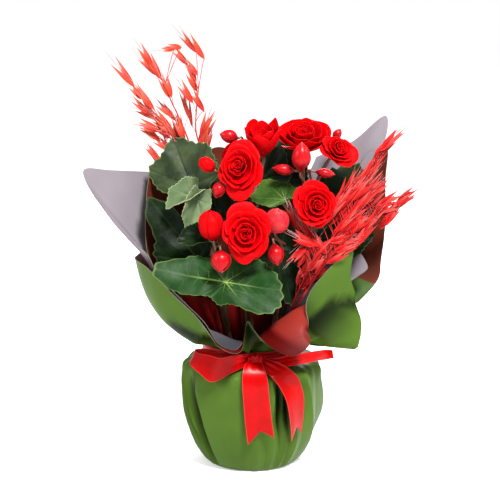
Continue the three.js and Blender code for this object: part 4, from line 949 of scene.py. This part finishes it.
def leaf_blade(name, front, at, facing, tip, length, reach=HEART, wide=1.0, cup=0.12, fold=0.0, droop=0.1):
    """A toothed blade whose stalk meets it at the place given, with its top face towards facing. reach is how
    far it goes all round from there, as a share of its length, with the tip first."""
    frame_of_leaf = stand(at, facing, tip)
    seed = length + 0.1 * at[0]

    def place(u, v):
        turn = 1 - u
        angle = 2 * math.pi * turn
        scallop = 0.045 * math.cos(8 * angle) * v
        teeth = 0.026 * (abs((turn * TEETH) % 1 - 0.5) * 4 - 1) * v ** 4
        radius = length * v * (1 + scallop + teeth) * along(reach, turn, True)
        wave = 0.045 * length * math.cos(5 * angle + length) * v * v
        finer = 0.02 * length * math.sin(11 * angle + seed) * v ** 3
        vein = abs((turn * MAIN_VEINS + 0.5) % 1 - 0.5) * 2
        puffed = 0.035 * length * (vein ** 0.7) * math.sin(math.pi * min(v, 1) ** 0.8)
        lift = cup * length * v * v + fold * abs(radius * math.sin(angle))
        lift -= droop * length * (v * max(math.cos(angle), 0)) ** 2
        x, y = radius * math.cos(angle), radius * math.sin(angle) * wide
        rough = 0.03 * length * ripple((x, y, seed), 0.3 * length, 3)
        return frame_of_leaf @ Vector((x, y, wave + lift + (finer + puffed + rough * v)))

    blade = grid_sheet(name, 136, 16, place)
    weld(blade, 0.03)
    return finish_sheet(blade, LEAF_THICK, (front, leaf_back), 70)


def leaf_stalk(name, at, facing, tip, length, route):
    """A stalk that comes along its route and meets the leaf from below."""
    top = Vector(at) + Vector(tip).normalized() * 0.07 * length
    under = top - Vector(facing).normalized() * 7
    back = top - Vector(facing).normalized() * 0.5
    return tube(name, [*route, under, back], STALK_FOOT, STALK_TOP, stalk_green)


# %% [markdown]
# Six stems rise from the soil. Each carries its leaves, and the thin stalks of the flowers above it leave it
# too. A stem has its name, its path and its leaves. A leaf has its finish, the place where its stalk meets
# it, the way its top faces, the way its tip points, its length, its stalk's first two points and the rest of
# its shape. These are the numbers of the solids.

# %% Stems and leaves
WIDE_LEAF = (1, 0.88, 0.88, 0.72, 0.44, 0.24, 0.16, 0.12, 0.14, 0.26, 0.38, 0.46, 0.56, 0.7, 0.8, 0.9)
LONG_LEAF = (1, 0.68, 0.56, 0.46, 0.36, 0.26, 0.18, 0.14, 0.18, 0.24, 0.28, 0.3, 0.32, 0.36, 0.42, 0.56)
FRONT_LEAF = (0.3, 0.34, 0.54, 0.88, 0.78, 0.72, 0.58, 0.46, 0.4, 0.4, 0.48, 0.7, 1, 0.72, 0.36, 0.34)
MIDDLE_LEAF = (0.96, 0.84, 0.5, 0.34, 0.26, 0.2, 0.18, 0.16, 0.26, 0.4, 0.44, 0.5, 0.6, 0.72, 0.94, 1)
STEMS = [
    ("leafy_stem_left", [(-22, 8, 78), (-26, 6, 130), (-40, 2, 190), (-52, 2, 250), (-56, 3, 285)], [
        (leaf_grey, (-63, -8, 298), (-0.25, -0.85, 0.42), (-0.4, 0.2, 0.9), 55,
         [(-52, 2, 250), (-58, 4, 280)], {"reach": WIDE_LEAF}),
        (leaf_grey, (-41, -5, 276), (0.3, -0.9, 0.15), (0.02, 0.15, 1), 49, [(-50, 2, 240), (-44, 2, 262)],
         {"wide": 0.52}),
        (leaf_young, (-62, -27, 290), (-0.1, -0.75, 0.65), (-0.85, -0.25, -0.4), 28,
         [(-50, 2, 240), (-55, -6, 268)], {"wide": 0.6, "cup": 0.2, "fold": 0.7}),
        (leaf_young, (-56, -31, 287), (0.1, -0.95, 0.1), (-0.35, 0.05, -0.95), 31,
         [(-48, 2, 232), (-49, -8, 266)], {"wide": 0.55, "cup": 0.1, "fold": 0.6}),
    ]),
    ("leafy_stem_front",
     [(-18, -16, 78), (-22, -19, 130), (-33, -28, 178), (-40, -38, 222), (-40, -44, 240)], [
        (leaf_dark_shaded, (-54, -31, 222), (-0.12, -0.96, 0.25), (-0.62, 0.2, 0.76), 80,
         [(-33, -28, 178), (-46, -24, 208)],
         {"reach": LONG_LEAF, "droop": 0}),
        (leaf_front, (-27, -68, 209), (0, -0.72, 0.7), (-0.18, -0.68, -0.7), 72,
         [(-24, -20, 142), (-28, -46, 184)],
         {"reach": FRONT_LEAF, "cup": 0.04, "droop": 0.12}),
        (leaf_dark_shaded, (-52, -47, 253.5), (0.1, -0.8, 0.6), (-0.93, -0.1, -0.35), 25,
         [(-40, -38, 222), (-40, -38, 244)], {"wide": 0.62, "fold": 0.3}),
    ]),
    ("leafy_stem_middle", [(0, -4, 78), (0, -7, 130), (-4, -16, 190), (-10, -21, 250), (-12, -22, 288)], [
        (leaf_dark_shaded, (-22, -29, 267), (-0.05, -0.95, 0.3), (0.05, 0.1, 1), 34,
         [(-9, -20, 238), (-16, -24, 254)], {"wide": 0.72}),
    ]),
    ("leafy_stem_right", [(19, -12, 78), (21, -15, 130), (29, -22, 190), (37, -26, 240), (42, -26, 262)], [
        (leaf_dark_shaded, (28, -36, 238), (0.2, -0.95, 0.2), (0.2, -0.1, -0.97), 58,
         [(28, -21, 182), (29, -24, 216)], {"wide": 0.6, "cup": 0.03, "droop": 0}),
        (leaf_fresh, (34, -30, 287), (-0.1, -0.62, 0.78), (-0.92, 0.05, 0.2), 36,
         [(38, -26, 246), (38, -22, 270)],
         {"reach": MIDDLE_LEAF, "wide": 0.9}),
    ]),
    ("leafy_stem_back_right", [(22, 12, 78), (26, 12, 130), (44, 10, 200), (59, 8, 258), (66, 6, 296)], [
        (leaf_dark_shaded, (89, 4, 262), (0.12, -0.92, 0.36), (0.4, 0.15, 0.9), 60, [(54, 9, 235), (74, 14, 250)],
         {"wide": 0.85}),
        (leaf_dark_shaded, (92, -14, 244), (0.2, -0.88, 0.4), (0.74, 0.08, 0.64), 44,
         [(44, 10, 200), (70, 2, 222)], {"wide": 0.8}),
    ]),
    ("leafy_stem_back", [(-5, 24, 78), (-6, 27, 130), (-8, 34, 190), (-4, 40, 250), (-2, 42, 285)], [
        (leaf_dark_shaded, (-18, 34, 270), (-0.1, 0.3, 0.95), (-0.3, 0.88, 0.35), 30,
         [(-7, 36, 210), (-12, 37, 246)], {}),
        (leaf_dark_shaded, (29, 28.5, 302), (0.1, -0.9, 0.4), (0.2, 0.2, 0.95), 41,
         [(-7, 35, 190), (18, 38, 256)], {}),
        (leaf_dark_shaded, (12, 23, 300), (-0.1, -0.9, 0.35), (-0.15, 0.2, 1), 42,
         [(-4, 40, 240), (6, 36, 270)], {}),
    ]),
]

# %% [markdown]
# The flowers and buds are needed here too, because their stalks grow from these stems. Both have a name, the
# number of their stem, the place of their middle, the way they face or point, and the first two points of
# their stalk. After that a bloom has its radius, how much of a cup it still is, and how far it reaches all
# round, and a bud has its length, its radius and whether it is about to open.

# %% Blooms and buds
BLOOMS = [
    ("bloom_1", 2, (-13, -46, 323), (-0.22, -0.9, 0.37), [(-11, -22, 272), (-6, -18, 296)], 26, 0,
     [0.93, 1, 1.22, 0.76, 0.8, 0.86, 1.22, 1.06]),
    ("bloom_2", 2, (-6, -80, 261), (0, -0.97, 0.22), [(-3, -14, 178), (-5, -36, 228)], 26, 0,
     [0.97, 1.11, 1.27, 1.13, 0.95, 0.93, 1.19, 1.03]),
    ("bloom_3", 3, (65, -60, 286), (0.2, -0.93, 0.3), [(38, -26, 244), (52, -28, 264)], 25, 0,
     [0.84, 0.92, 1, 1.2, 1.03, 0.97, 1, 0.74]),
    ("bloom_4", 4, (88, -20, 337), (0.4, -0.7, 0.56), [(63, 7, 278), (70, 2, 306)], 20, 0,
     [1.16, 0.85, 0.75, 0.9, 0.95, 0.75, 0.8, 1.12]),
    ("bloom_5", 2, (11, -14, 339), (-0.05, -0.3, 0.95), [(-10, -21, 256), (4, -10, 296)], 24, 0.9, [1]),
    ("bloom_6", 4, (54, 4, 343), (0, -0.5, 0.86), [(57, 8, 250), (54, 16, 300)], 30, 0.35,
     [1.1, 0.95, 0.85, 0.95, 1.15, 1, 0.9, 1]),
    ("bloom_7", 5, (-12, 52, 322), (-0.2, 0.72, 0.66), [(-3, 41, 268), (-8, 40, 294)], 23, 0, [1]),
]
BUDS = [
    ("bud_top_left", 2, (-24, -8, 350), (-0.85, -0.2, 0.25), [(-12, -22, 284), (-8, -6, 320)],
     21, 7.4, False),
    ("bud_left", 2, (-46, -42, 326), (-0.7, -0.3, 0.6), [(-12, -22, 280), (-29, -26, 306)], 20, 7, True),
    ("bud_dark", 2, (-34, -46, 300), (-0.3, -0.3, -0.85), [(-12, -22, 276), (-27, -28, 302)], 18, 7, False),
    ("bud_open", 1, (-41, -64, 268), (-0.12, -0.3, 0.95), [(-40, -42, 236), (-37.3, -54.5, 239)],
     35, 12.5, True),
    ("bud_round", 3, (25.5, -64, 272), (0.1, -0.4, 0.9), [(37, -26, 238), (30, -44, 246)], 28, 12.2, True),
    ("bud_oval", 3, (24, -70, 238), (0.15, -0.35, -0.9), [(35, -25, 222), (29, -46, 245)], 23, 8.5, False),
    ("bud_low", 1, (-31, -84, 234), (0.05, -0.6, -0.75), [(-40, -44, 239), (-32, -62, 246)], 25, 10.5, False),
    ("bud_tulip", 4, (50, -38, 333), (0.03, -0.12, 1), [(64, 6, 284), (54, -22, 304)], 32, 10, False),
    ("bud_side_left", 4, (32, -30, 318.5), (-0.96, -0.1, 0.16), [(61, 7, 266), (52, -14, 306)],
     24, 5.8, False),
    ("bud_side_right", 4, (75, -32, 315), (0.96, -0.1, -0.12), [(65, 6, 290), (60, -18, 310)], 21, 5, False),
    ("bud_top_right", 4, (90, 34, 346), (0.5, -0.1, 0.8), [(66, 6, 294), (82, 28, 322)], 14, 4.8, False),
]
# How far below its middle a bloom sits on its stalk, and how thick the stalks and stems are
BLOOM_STALK = 12.7
BLOOM_STALK_THICK, BUD_STALK_THICK = 1.6, 1.1
STEM_FOOT, STEM_TOP = 3.8, 2.2


def seat_of(at, way, below):
    """Where the stalk ends, below the middle of a bloom or a bud, and the way it comes in."""
    axis = Vector(way).normalized()
    return Vector(at) - axis * below, axis


def flower_stalk(at, way, route, below, thick):
    seat, axis = seat_of(at, way, below)
    return tube("flower_stalk", [*route, seat - axis * 5, seat], thick * 1.25, thick, stalk_red, 2)


# %% [markdown]
# Each stem becomes one piece: its own tube, its leaves on their stalks, and the stalks of its flowers.

# %% Leafy stems
# A stem and a straw stand upright up to here, in their holes in the soil
IN_SOIL, OVER_SOIL = 92, 98

for number, (name, path, leaves) in enumerate(STEMS):
    x, y, foot = path[0]
    upright = [(x, y, foot), (x, y, IN_SOIL), (x, y, OVER_SOIL)]
    parts = [tube(name, [*upright, *path[1:]], STEM_FOOT, STEM_TOP, stalk_red, 4, knuckles=0.18)]
    for k, (look, at, facing, tip, length, route, shape) in enumerate(leaves):
        parts.append(leaf_blade(f"leaf_{number}_{k}", look, at, facing, tip, length, **shape))
        parts.append(leaf_stalk(f"leaf_stalk_{number}_{k}", at, facing, tip, length, route))
    for _, stem, at, way, route, *_ in BLOOMS:
        if stem == number:
            parts.append(flower_stalk(at, way, route, BLOOM_STALK, BLOOM_STALK_THICK))
    for _, stem, at, way, route, length, *_ in BUDS:
        if stem == number:
            parts.append(flower_stalk(at, way, route, length / 2, BUD_STALK_THICK))
    dress(join(name, parts), "leaf", name)

# %% [markdown]
# Petals are velvety, so they are matte with hardly any shine, and some light passes through them. A painted
# shade deepens their red towards the foot, and a painted highlight thins it to scarlet at the rim. Fine veins
# run along them. Closed buds are glossier. Plain red would look like plastic, so the colour follows each
# petal's own length.

# %% Petal finish
def petal_finish(name, face, foot, rim_highlight_and_blotch, roughness=0.55, shine=0.03):
    finish = Finish(name, roughness, Specular_IOR_Level=shine,
                    Subsurface_Weight=0.35, Subsurface_Scale=0.006)
    finish.set("Subsurface Radius", (1.0, 0.1, 0.08))
    lengthwise = finish.split(finish.place(uv=True))[1]
    # Painted shade deepens the red towards each petal's foot, and a painted highlight pales it at the rim;
    # the rim colour also gives random blotches
    low = finish.mix(finish.span(lengthwise, 0.0, 0.5), paint(*foot), paint(*face))
    high = finish.mix(finish.span(lengthwise, 0.9, 1.0, 0, 0.6), low, paint(*rim_highlight_and_blotch))
    blotches = finish.span(finish.noise(11, 3), 0.35, 0.75, 0, 0.25)
    finish.set("Base Color", finish.mix(blotches, high, paint(*rim_highlight_and_blotch)))
    finish.bump(finish.noise(0.045, 2, finish.place((1, 0.09, 1), uv=True)), 0.18, 0.25)
    return finish.material


# For each finish: the face, the painted shade at the foot, and the painted highlight at the rim
petal_red = petal_finish("petal_red", (240, 0, 8), (178, 0, 5), (252, 16, 26))
petal_bud = petal_finish("petal_bud", (214, 4, 18), (176, 2, 10), (236, 50, 58), 0.3, 0.12)
petal_blush = petal_finish("petal_blush", (236, 44, 54), (206, 12, 28), (250, 110, 110), 0.45)
print("petals have their finishes")

# %% [markdown]
# A double bloom has its petals in whorls. The outer ones are broad and make an open cup, inside them stands
# a smaller whorl, and at the heart a few are rolled tightly round each other. Each petal is a sheet bent
# round the bloom's axis, with its foot near the axis and one side lying over its neighbour. For each whorl:
# how many petals, half the angle a petal spans, and then its distance from the axis and its height at the
# foot, the middle and the rim, as shares of the bloom's radius. A bloom that is still a cup has its outer
# whorls raised. One petal could be copied round, but smooth noise makes each of them a little different.

# %% Petals
WHORLS = [
    (3, 84, (0.03, 0.08, 0.09), (-0.3, 0.16, 0.33)),
    (4, 80, (0.05, 0.16, 0.2), (-0.3, 0.15, 0.36)),
    (5, 70, (0.08, 0.29, 0.37), (-0.3, 0.12, 0.36)),
    (5, 60, (0.12, 0.45, 0.6), (-0.3, 0.05, 0.31)),
    (5, 50, (0.16, 0.58, 0.82), (-0.29, 0.0, 0.22)),
    (5, 46, (0.2, 0.68, 1.0), (-0.28, -0.05, 0.09)),
]
OUTER_RING = len(WHORLS) - 1
WHORL_TWIST = 38
BLOOM_TWIST = 53
PETAL_THICK = 0.4


def petal(name, frame_of_bloom, radius, whorl, turn, seed, shape):
    """shape says how open, pointed and cupped the petal is, and how far the bloom reaches all round."""
    half, spread, height = whorl
    open_out, pointed, cupped, outline = shape
    rounded = 0.18 + 0.2 * spread[2]

    def place(u, v):
        side = 2 * u - 1
        end = rounded * abs(side) ** 2.4 - pointed * math.exp(-(side / 0.3) ** 2)
        reach = v * (1 - end)
        out = radius * along(spread, reach) * open_out * (1 - 0.22 * cupped * v)
        up = radius * (along(height, reach) - 0.4 * (open_out - 1) * v + cupped * reach * reach)
        out += radius * (0.05 * side * v + 0.05 * v * v * ripple((side * 1.3, v * 1.2, seed), 1))
        up += radius * v * v * (0.11 * ripple((side * 1.8, v * 1.4, seed + 5), 1) + 0.05 * side * side)
        up += radius * 0.13 * side * v * spread[2]
        up -= radius * 0.1 * spread[2] * v ** 5
        angle = turn + half * side * (0.82 + 0.18 * v)
        out *= 1 + (along(outline, angle / 360 % 1, True) - 1) * v
        lean = math.radians(angle)
        return frame_of_bloom @ Vector((out * math.cos(lean), out * math.sin(lean), up))

    return finish_sheet(grid_sheet(name, 16, 11, place), PETAL_THICK, [petal_red], 85)


# %% Blooms
def bloom_seat(name, at, facing, radius):
    """The short thick end of the stalk, which carries the petals."""
    seat, axis = seat_of(at, facing, BLOOM_STALK)
    foot = seat + axis * 0.3
    top = Vector(at) - axis * 0.2 * radius
    return tube(name + "_seat", [foot, (foot + top) / 2, top], 1.6, 3.4, petal_bud, 3)


for number, (name, _, at, facing, _, radius, cup, reaches) in enumerate(BLOOMS):
    frame_of_bloom = stand(at, facing)
    parts = []
    for ring, (count, *whorl) in enumerate(WHORLS):
        outline = [1 + (reach - 1) * (ring / OUTER_RING) ** 2 for reach in reaches]
        for k in range(count):
            seed = 17 * number + 5 * ring + k
            open_out = 1 + 0.2 * ripple((seed, 0.5, 0.5), 1.3)
            pointed = 0.05 + 0.12 * ripple((0.5, seed, 0.5), 1.3)
            turn = 360 * k / count + WHORL_TWIST * ring + BLOOM_TWIST * number
            shape = (open_out, pointed, cup * ring / OUTER_RING, outline)
            parts.append(petal(name, frame_of_bloom, radius, whorl, turn, seed, shape))
    parts.append(bloom_seat(name, at, facing, radius))
    dress(join(name, parts), "petal", name)

# %% [markdown]
# A bud is a smooth drop with its outer petals folded flat over it, so that a seam runs up each side. One that
# is about to open is rounder, and its five petals lie over each other up to a blunt top.

# %% Buds
# Width along the bud, how round its petals end, and half the angle that one spans
DROP = ([0.16, 0.72, 0.98, 0.92, 0.62, 0.05], 0.2, 88)
BLUNT = ([0.3, 0.84, 1.0, 0.97, 0.76, 0.02], 0.07, 84)
BUD_THICK = 0.5


def bud_shell(name, frame_of_bud, girth, length, turn, form, material):
    profile, rounded, half = form

    def place(u, v):
        side = 2 * u - 1
        reach = v * (1 - rounded * abs(side) ** 2.4)
        out = girth * along(profile, reach) * (1.03 - 0.015 * abs(side))
        angle = math.radians(turn) + math.radians(half) * side
        return frame_of_bud @ Vector((out * math.cos(angle), out * math.sin(angle), length * reach))

    return finish_sheet(grid_sheet(name, 16, 14, place), BUD_THICK, [material], 70)


for name, _, at, tip, _, length, girth, opening in BUDS:
    frame_of_bud = stand(*seat_of(at, tip, length / 2))
    look = petal_blush if name == "bud_round" else petal_red
    shells = []
    for k in range(5 if opening else 4):
        if opening:
            shells.append(bud_shell("petal", frame_of_bud, girth * (0.84 + 0.045 * k),
                                    length * (0.86 + 0.035 * k), 128 * k + 15, BLUNT, look))
        else:
            shells.append(bud_shell("fold", frame_of_bud, girth * (0.86 + 0.045 * k),
                                    length * (0.94 + 0.02 * k), 90 * k + 20, DROP, petal_bud))
    dress(join(name, shells), "petal", name)

# %% [markdown]
# The oats are real dried ones that have been dyed. A straw carries thin branches, and each ends in a
# spikelet: papery husks like pointed boats that stand a little apart, with a hair-thin awn. The dye is
# uneven, so the husks run from deep red at the foot to coral, and they turn pale pink towards the tip and
# along their ribs, partly from the dye and partly as a painted highlight. The right spray lies low in the
# bunch, where a painted shade darkens its red.

# %% Oat finishes
RIBS = 4.0


def straw_finish(name, deep, body, pale_and_highlight, shaded=None):
    """shaded is the range of heights over which a painted shade, dark low in the spray, gives way to the full
    red.
    """
    finish = Finish(name, 0.5, Specular_IOR_Level=0.03)
    across, lengthwise = finish.split(finish.place(uv=True))[:2]
    in_rib = finish.calc("FRACT", finish.calc("MULTIPLY", across, RIBS))
    rib = finish.calc("ABSOLUTE", finish.calc("SUBTRACT", in_rib, 0.5))
    dyed = finish.mix(finish.span(finish.noise(17, 3), 0.3, 0.7), paint(*deep), paint(*body))
    # Painted shade: the husks darken low in the spray
    if shaded:
        height = finish.split(finish.place())[2]
        dyed = finish.mix(finish.span(height, *shaded), [0.45 * value for value in paint(*deep)], dyed)
    # Pale towards the tip and along the ribs, partly the dye's own paleness and partly a painted highlight
    lit = finish.mix(finish.span(lengthwise, 0.25, 0.95, 0, 0.55), dyed, paint(*pale_and_highlight))
    finish.set("Base Color", finish.mix(finish.span(rib, 0.36, 0.48, 0, 0.5), lit, paint(*pale_and_highlight)))
    finish.bump(rib, 0.35, 0.25)
    return finish.material


husk_coral = straw_finish("husk_coral", (220, 34, 36), (240, 66, 58), (255, 150, 136))
husk_orange = straw_finish("husk_orange", (216, 40, 26), (238, 76, 46), (250, 132, 100))
husk_red = straw_finish("husk_red", (156, 0, 8), (206, 4, 12), (242, 68, 62), (205, 250))
husk_pink = straw_finish("husk_pink", (188, 4, 12), (224, 24, 26), (252, 116, 108), (205, 250))
awn_pale = straw_finish("awn_pale", (170, 60, 62), (214, 110, 108), (240, 206, 204))
print("oats have their finishes")

# %% [markdown]
# A spray has the foot of its first straw, the straws and the spikelets, each from its foot to its tip.

# %% The sprays, in millimetres
OATS_LEFT = {
    "foot": (-30, 22),
    "straws": [
        [(-32, 22, 130), (-44, 26, 200), (-58, 26, 262), (-71, 24, 298), (-88, 26, 332), (-99, 27, 363),
         (-111, 30, 379)],
        [(-39, 24, 178), (-42, 32, 220), (-54, 30, 290), (-65, 26, 335), (-78, 30, 367), (-84, 29, 380),
         (-91, 31, 398)],
        [(-35, 23, 155), (-34, 33, 210), (-46, 33, 290), (-54, 28, 330), (-59, 30, 351), (-58, 30, 375),
         (-56, 32, 393)],
    ],
    "spikelets": [
        ((-123, 26, 397), (-146, 30, 425)), ((-115, 33, 383), (-129, 37, 397)),
        ((-103, 26, 418), (-118, 22, 441)), ((-99, 32, 408), (-117, 40, 424)),
        ((-87, 26, 386), (-97, 23, 411)), ((-58, 32, 432), (-76, 30, 453)),
        ((-81, 32, 436), (-94, 26, 435)), ((-67, 34, 419), (-83, 36, 436)),
        ((-59, 35, 400), (-67, 30, 421)), ((-62, 27, 380), (-77, 24, 403)),
        ((-67, 32, 364), (-75, 36, 396)), ((-109, 26, 369), (-126, 22, 386)),
        ((-102, 30, 363), (-124, 35, 374)), ((-98, 24, 352), (-119, 26, 361)),
        ((-80, 34, 360), (-96, 38, 378)), ((-73, 30, 342), (-82, 34, 365)),
        ((-99, 26, 319), (-112, 30, 335)), ((-54, 27, 345), (-43, 25, 373)),
        ((-49, 26, 330), (-44, 22, 351)), ((-76, 24, 341), (-86, 20, 361)),
        ((-97, 29, 340), (-115, 34, 352)), ((-90, 26, 353), (-106, 20, 371)),
    ],
}
OATS_RIGHT = {
    "foot": (36, -8),
    "straws": [
        [(37, -12, 130), (40, -40, 160), (42, -60, 184), (61, -64, 226), (84, -54, 255), (108, -36, 288),
         (127, -20, 322)],
        [(41, -52, 174), (50, -64, 190), (70, -66, 223), (94, -58, 250), (118, -44, 267), (142, -30, 282)],
    ],
    "spikelets": [
        ((150, -24, 285), (170, -20, 299)), ((128, -30, 278), (151, -24, 287)),
        ((138, -30, 267), (150, -22, 284)), ((133, -8, 336), (153, 0, 355)),
        ((116, -18, 308), (135, -8, 335)), ((110, -24, 298), (131, -16, 327)),
        ((94, -36, 291), (111, -30, 318)), ((120, -28, 287), (138, -20, 304)),
        ((111, -26, 283), (134, -12, 304)), ((100, -40, 273), (123, -30, 298)),
        ((87, -44, 278), (107, -36, 305)), ((100, -34, 291), (121, -26, 313)),
        ((95, -44, 266), (117, -36, 283)), ((112, -46, 255), (134, -36, 280)),
        ((101, -50, 256), (120, -42, 271)), ((86, -56, 249), (110, -50, 253)),
        ((87, -64, 237), (105, -60, 245)), ((62, -60, 247), (42, -62, 259)),
        ((64, -56, 247), (50, -46, 268)), ((52, -58, 244), (40, -62, 230)),
        ((49, -50, 257), (40, -40, 280)),
    ],
}
# Short husks that lie low in the right spray, one behind the other
LOW_BUNCH = [
    ((50, -60, 200), (69, -56, 221)), ((56, -62, 206), (78, -58, 228)), ((49, -58, 212), (65, -54, 236)),
    ((60, -61, 216), (84, -57, 240)), ((67, -57, 224), (92, -51, 243)), ((47, -60, 224), (60, -56, 247)),
    ((72, -56, 228), (94, -48, 246)), ((78, -56, 236), (104, -48, 252)), ((54, -56, 195), (63, -52, 216)),
    ((61, -63, 229), (86, -59, 252)), ((55, -60, 234), (69, -56, 254)), ((63, -58, 206), (82, -54, 221)),
    ((69, -57, 232), (99, -53, 251)), ((46, -57, 204), (53, -53, 223)), ((57, -66, 221), (74, -62, 236)),
    ((65, -66, 216), (76, -62, 236)),
]
print(len(OATS_LEFT["spikelets"] + OATS_RIGHT["spikelets"] + LOW_BUNCH), "spikelets")

# %% [markdown]
# One husk is a thin pointed boat. It is made once and copied: every spikelet is two husks that lie over each
# other with their tips a little apart, and a smaller kernel scale between them.

# %% One husk, used many times
# The lean, the facing and the size of the husks in a spikelet
SPIKELET = ((0.13, 1, 1), (-0.14, -1, 0.9), (0.0, 1, 0.7))
# In thousandths of the husk's own width
HUSK_THICK = 60


def husk_mesh():
    """A pointed boat, 1 long and 1 wide, hollow towards +X, with its foot at the origin."""
    def place(u, v):
        side = 2 * u - 1
        width = 0.5 * (math.sin(math.pi * v ** 0.62) ** 1.2 + 0.03 * (1 - v))
        return Vector((0.5 * width * side * side - 0.25 * width, width * side, v)) / MM

    return finish_sheet(grid_sheet("husk", 4, 7, place), HUSK_THICK, ())


husk_form = husk_mesh()


def husk_copy(matrix):
    copy = husk_form.copy()
    copy.data = husk_form.data.copy()
    bpy.context.collection.objects.link(copy)
    copy.data.transform(matrix)
    return copy


def spikelet(foot, tip, width, draw):
    """Its husks lean to either side, face either way and have sizes of their own."""
    axis = Vector(tip) - Vector(foot)
    ahead = axis.normalized()
    turn = math.radians(100 * (draw() - 0.5))
    broad = ahead.cross(Vector((math.sin(turn), -math.cos(turn), 0.1))).normalized()
    hollow = broad.cross(ahead)
    parts = []
    for lean, facing, size in SPIKELET:
        way = (ahead + broad * (lean + 0.06 * (draw() - 0.5))).normalized()
        fit = stand(foot, way, hollow * facing)
        scale = Matrix.Diagonal((width * 0.7, width * (0.6 + 0.4 * size), axis.length * size, 1))
        parts.append(husk_copy(Matrix.Diagonal((MM, MM, MM, 1)) @ fit @ scale))
    return parts


# %% [markdown]
# More spikelets grow beside each given one. Placing them all by hand would take long, and a particle system
# is hard to steer, so their places are drawn from a row of numbers that is the same each time. From the foot
# of a spikelet a thin branch runs to the nearest place on a straw that lies a little lower.

# %% Oat sprays
FOOT_THICK, FORK_THICK, TIP_THICK = 1.7, 1.2, 0.6
STRAW_FOOT = 78


def draws(seed):
    state = seed
    while True:
        state = state * 16807 % 2147483647
        yield state / 2147483647


def grown_spikelets(given, draw, extra, crowded):
    """The given spikelets and the extra ones beside each, which are two more below the height crowded."""
    heads = [(Vector(a), Vector(b)) for a, b in given]
    for start, tip in list(heads):
        for _ in range(extra + (2 if start.z < crowded else 0)):
            back = (tip - start) * (0.9 * draw() - 0.75)
            shift = Vector((draw() - 0.5, 0.8 * draw() - 0.4, draw() - 0.5)) * 9 + back
            turn = Vector((draw() - 0.5, draw() - 0.5, draw() - 0.5)) * 7
            heads.append((start + shift, tip + shift + turn))
    return heads


def branch_and_awn(start, tip, spots, draw, materials):
    goal = start - Vector((0, 0, 12))
    root = min(spots, key=lambda spot: (spot - goal).length)
    middle = root.lerp(start, 0.6) + Vector((0, 0, 2))
    way = (tip - start).normalized() * (4 + 10 * draw())
    branch = tube("branch", [root, middle, start], 0.4, 0.3, materials[0], 0)
    awn = tube("awn", [start.lerp(tip, 0.8), tip + way * 0.3, tip + way], 0.3, 0.12, materials[2], 0)
    return [branch, awn]


def oat_spray(name, spray, seed, materials, extra, width, crowded=0, low=()):
    """The first two materials are the husks', the third is the awns'. width is that of a husk."""
    draw = draws(seed).__next__
    x, y = spray["foot"]
    routes = [vectors(points) for points in spray["straws"]]
    routes[0] = vectors([(x, y, STRAW_FOOT), (x, y, IN_SOIL), (x, y, OVER_SOIL)]) + routes[0]
    straws = [tube("straw", route, FORK_THICK if k else FOOT_THICK, TIP_THICK, materials[0], 2)
              for k, route in enumerate(routes)]
    spots = [along(route, t / 120) for route in routes for t in range(30, 121)]
    heads = grown_spikelets(spray["spikelets"], draw, extra, crowded)
    heads.extend((Vector(a), Vector(b)) for a, b in low)
    husks, branches = [], []
    for start, tip in heads:
        husks.extend(spikelet(start, tip, width, draw))
        branches.extend(branch_and_awn(start, tip, spots, draw, materials))
    for number, husk in enumerate(husks):
        husk.data.materials.append(materials[number % 2])
    whole = join(name, husks + straws + branches)
    smooth(whole, 40)
    dress(whole, "dried_oats", name)


oat_spray("oat_spray_left", OATS_LEFT, 7, (husk_coral, husk_orange, awn_pale), 1, 4.2, 354)
oat_spray("oat_spray_right", OATS_RIGHT, 11, (husk_red, husk_pink, awn_pale), 4, 4.4, low=LOW_BUNCH)
bpy.data.objects.remove(husk_form)

# %% [markdown]
# The pot and its soil are hard, and almost all of both is hidden by the wrap. They stay as the solids are,
# and only get their finishes.

# %% Pot and soil
pot_finish = Finish("pot_finish", 0.45)
pot_finish.set("Base Color", (*paint(104, 62, 44), 1))
pot_finish.bump(pot_finish.noise(1.5, 2), 0.1, 0.1)
soil_finish = Finish("soil_finish", 0.95)
damp = soil_finish.span(soil_finish.noise(3, 5), 0.35, 0.7)
soil_finish.set("Base Color", soil_finish.mix(damp, paint(36, 26, 20), paint(82, 62, 46)))
soil_finish.bump(soil_finish.noise(2.2, 5), 0.9, 2.5)
for node, finish, slot in (("nursery_pot", pot_finish, "pot_plastic"), ("potting_soil", soil_finish, "soil")):
    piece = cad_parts[node]
    piece.data.materials.clear()
    piece.data.materials.append(finish.material)
    print(node, "has its finish")

# %% [markdown]
# The film and the ribbon are flat goods, so each is listed with the size it was cut to, and the area of one
# side of it is printed. The wrap is a strip that goes once round the pot, gathered under the base and at the
# neck. The ribbon is 24 mm wide.

# %% Sheets, with width and length in metres
for piece, flat, held, under in (
    (wrap, (0.5, 0.29), "gathered", "nursery_pot"), (grey_left, (0.21, 0.15), "gathered", wrap),
    (back_sheet, (0.39, 0.17), "gathered", wrap), (grey_right, (0.15, 0.17), "gathered", wrap),
    (bow, (0.024, 0.56), "folded", wrap),
):
    print(piece.name, round(sum(face.area for face in piece.data.polygons) / 2, 4), "square metres")
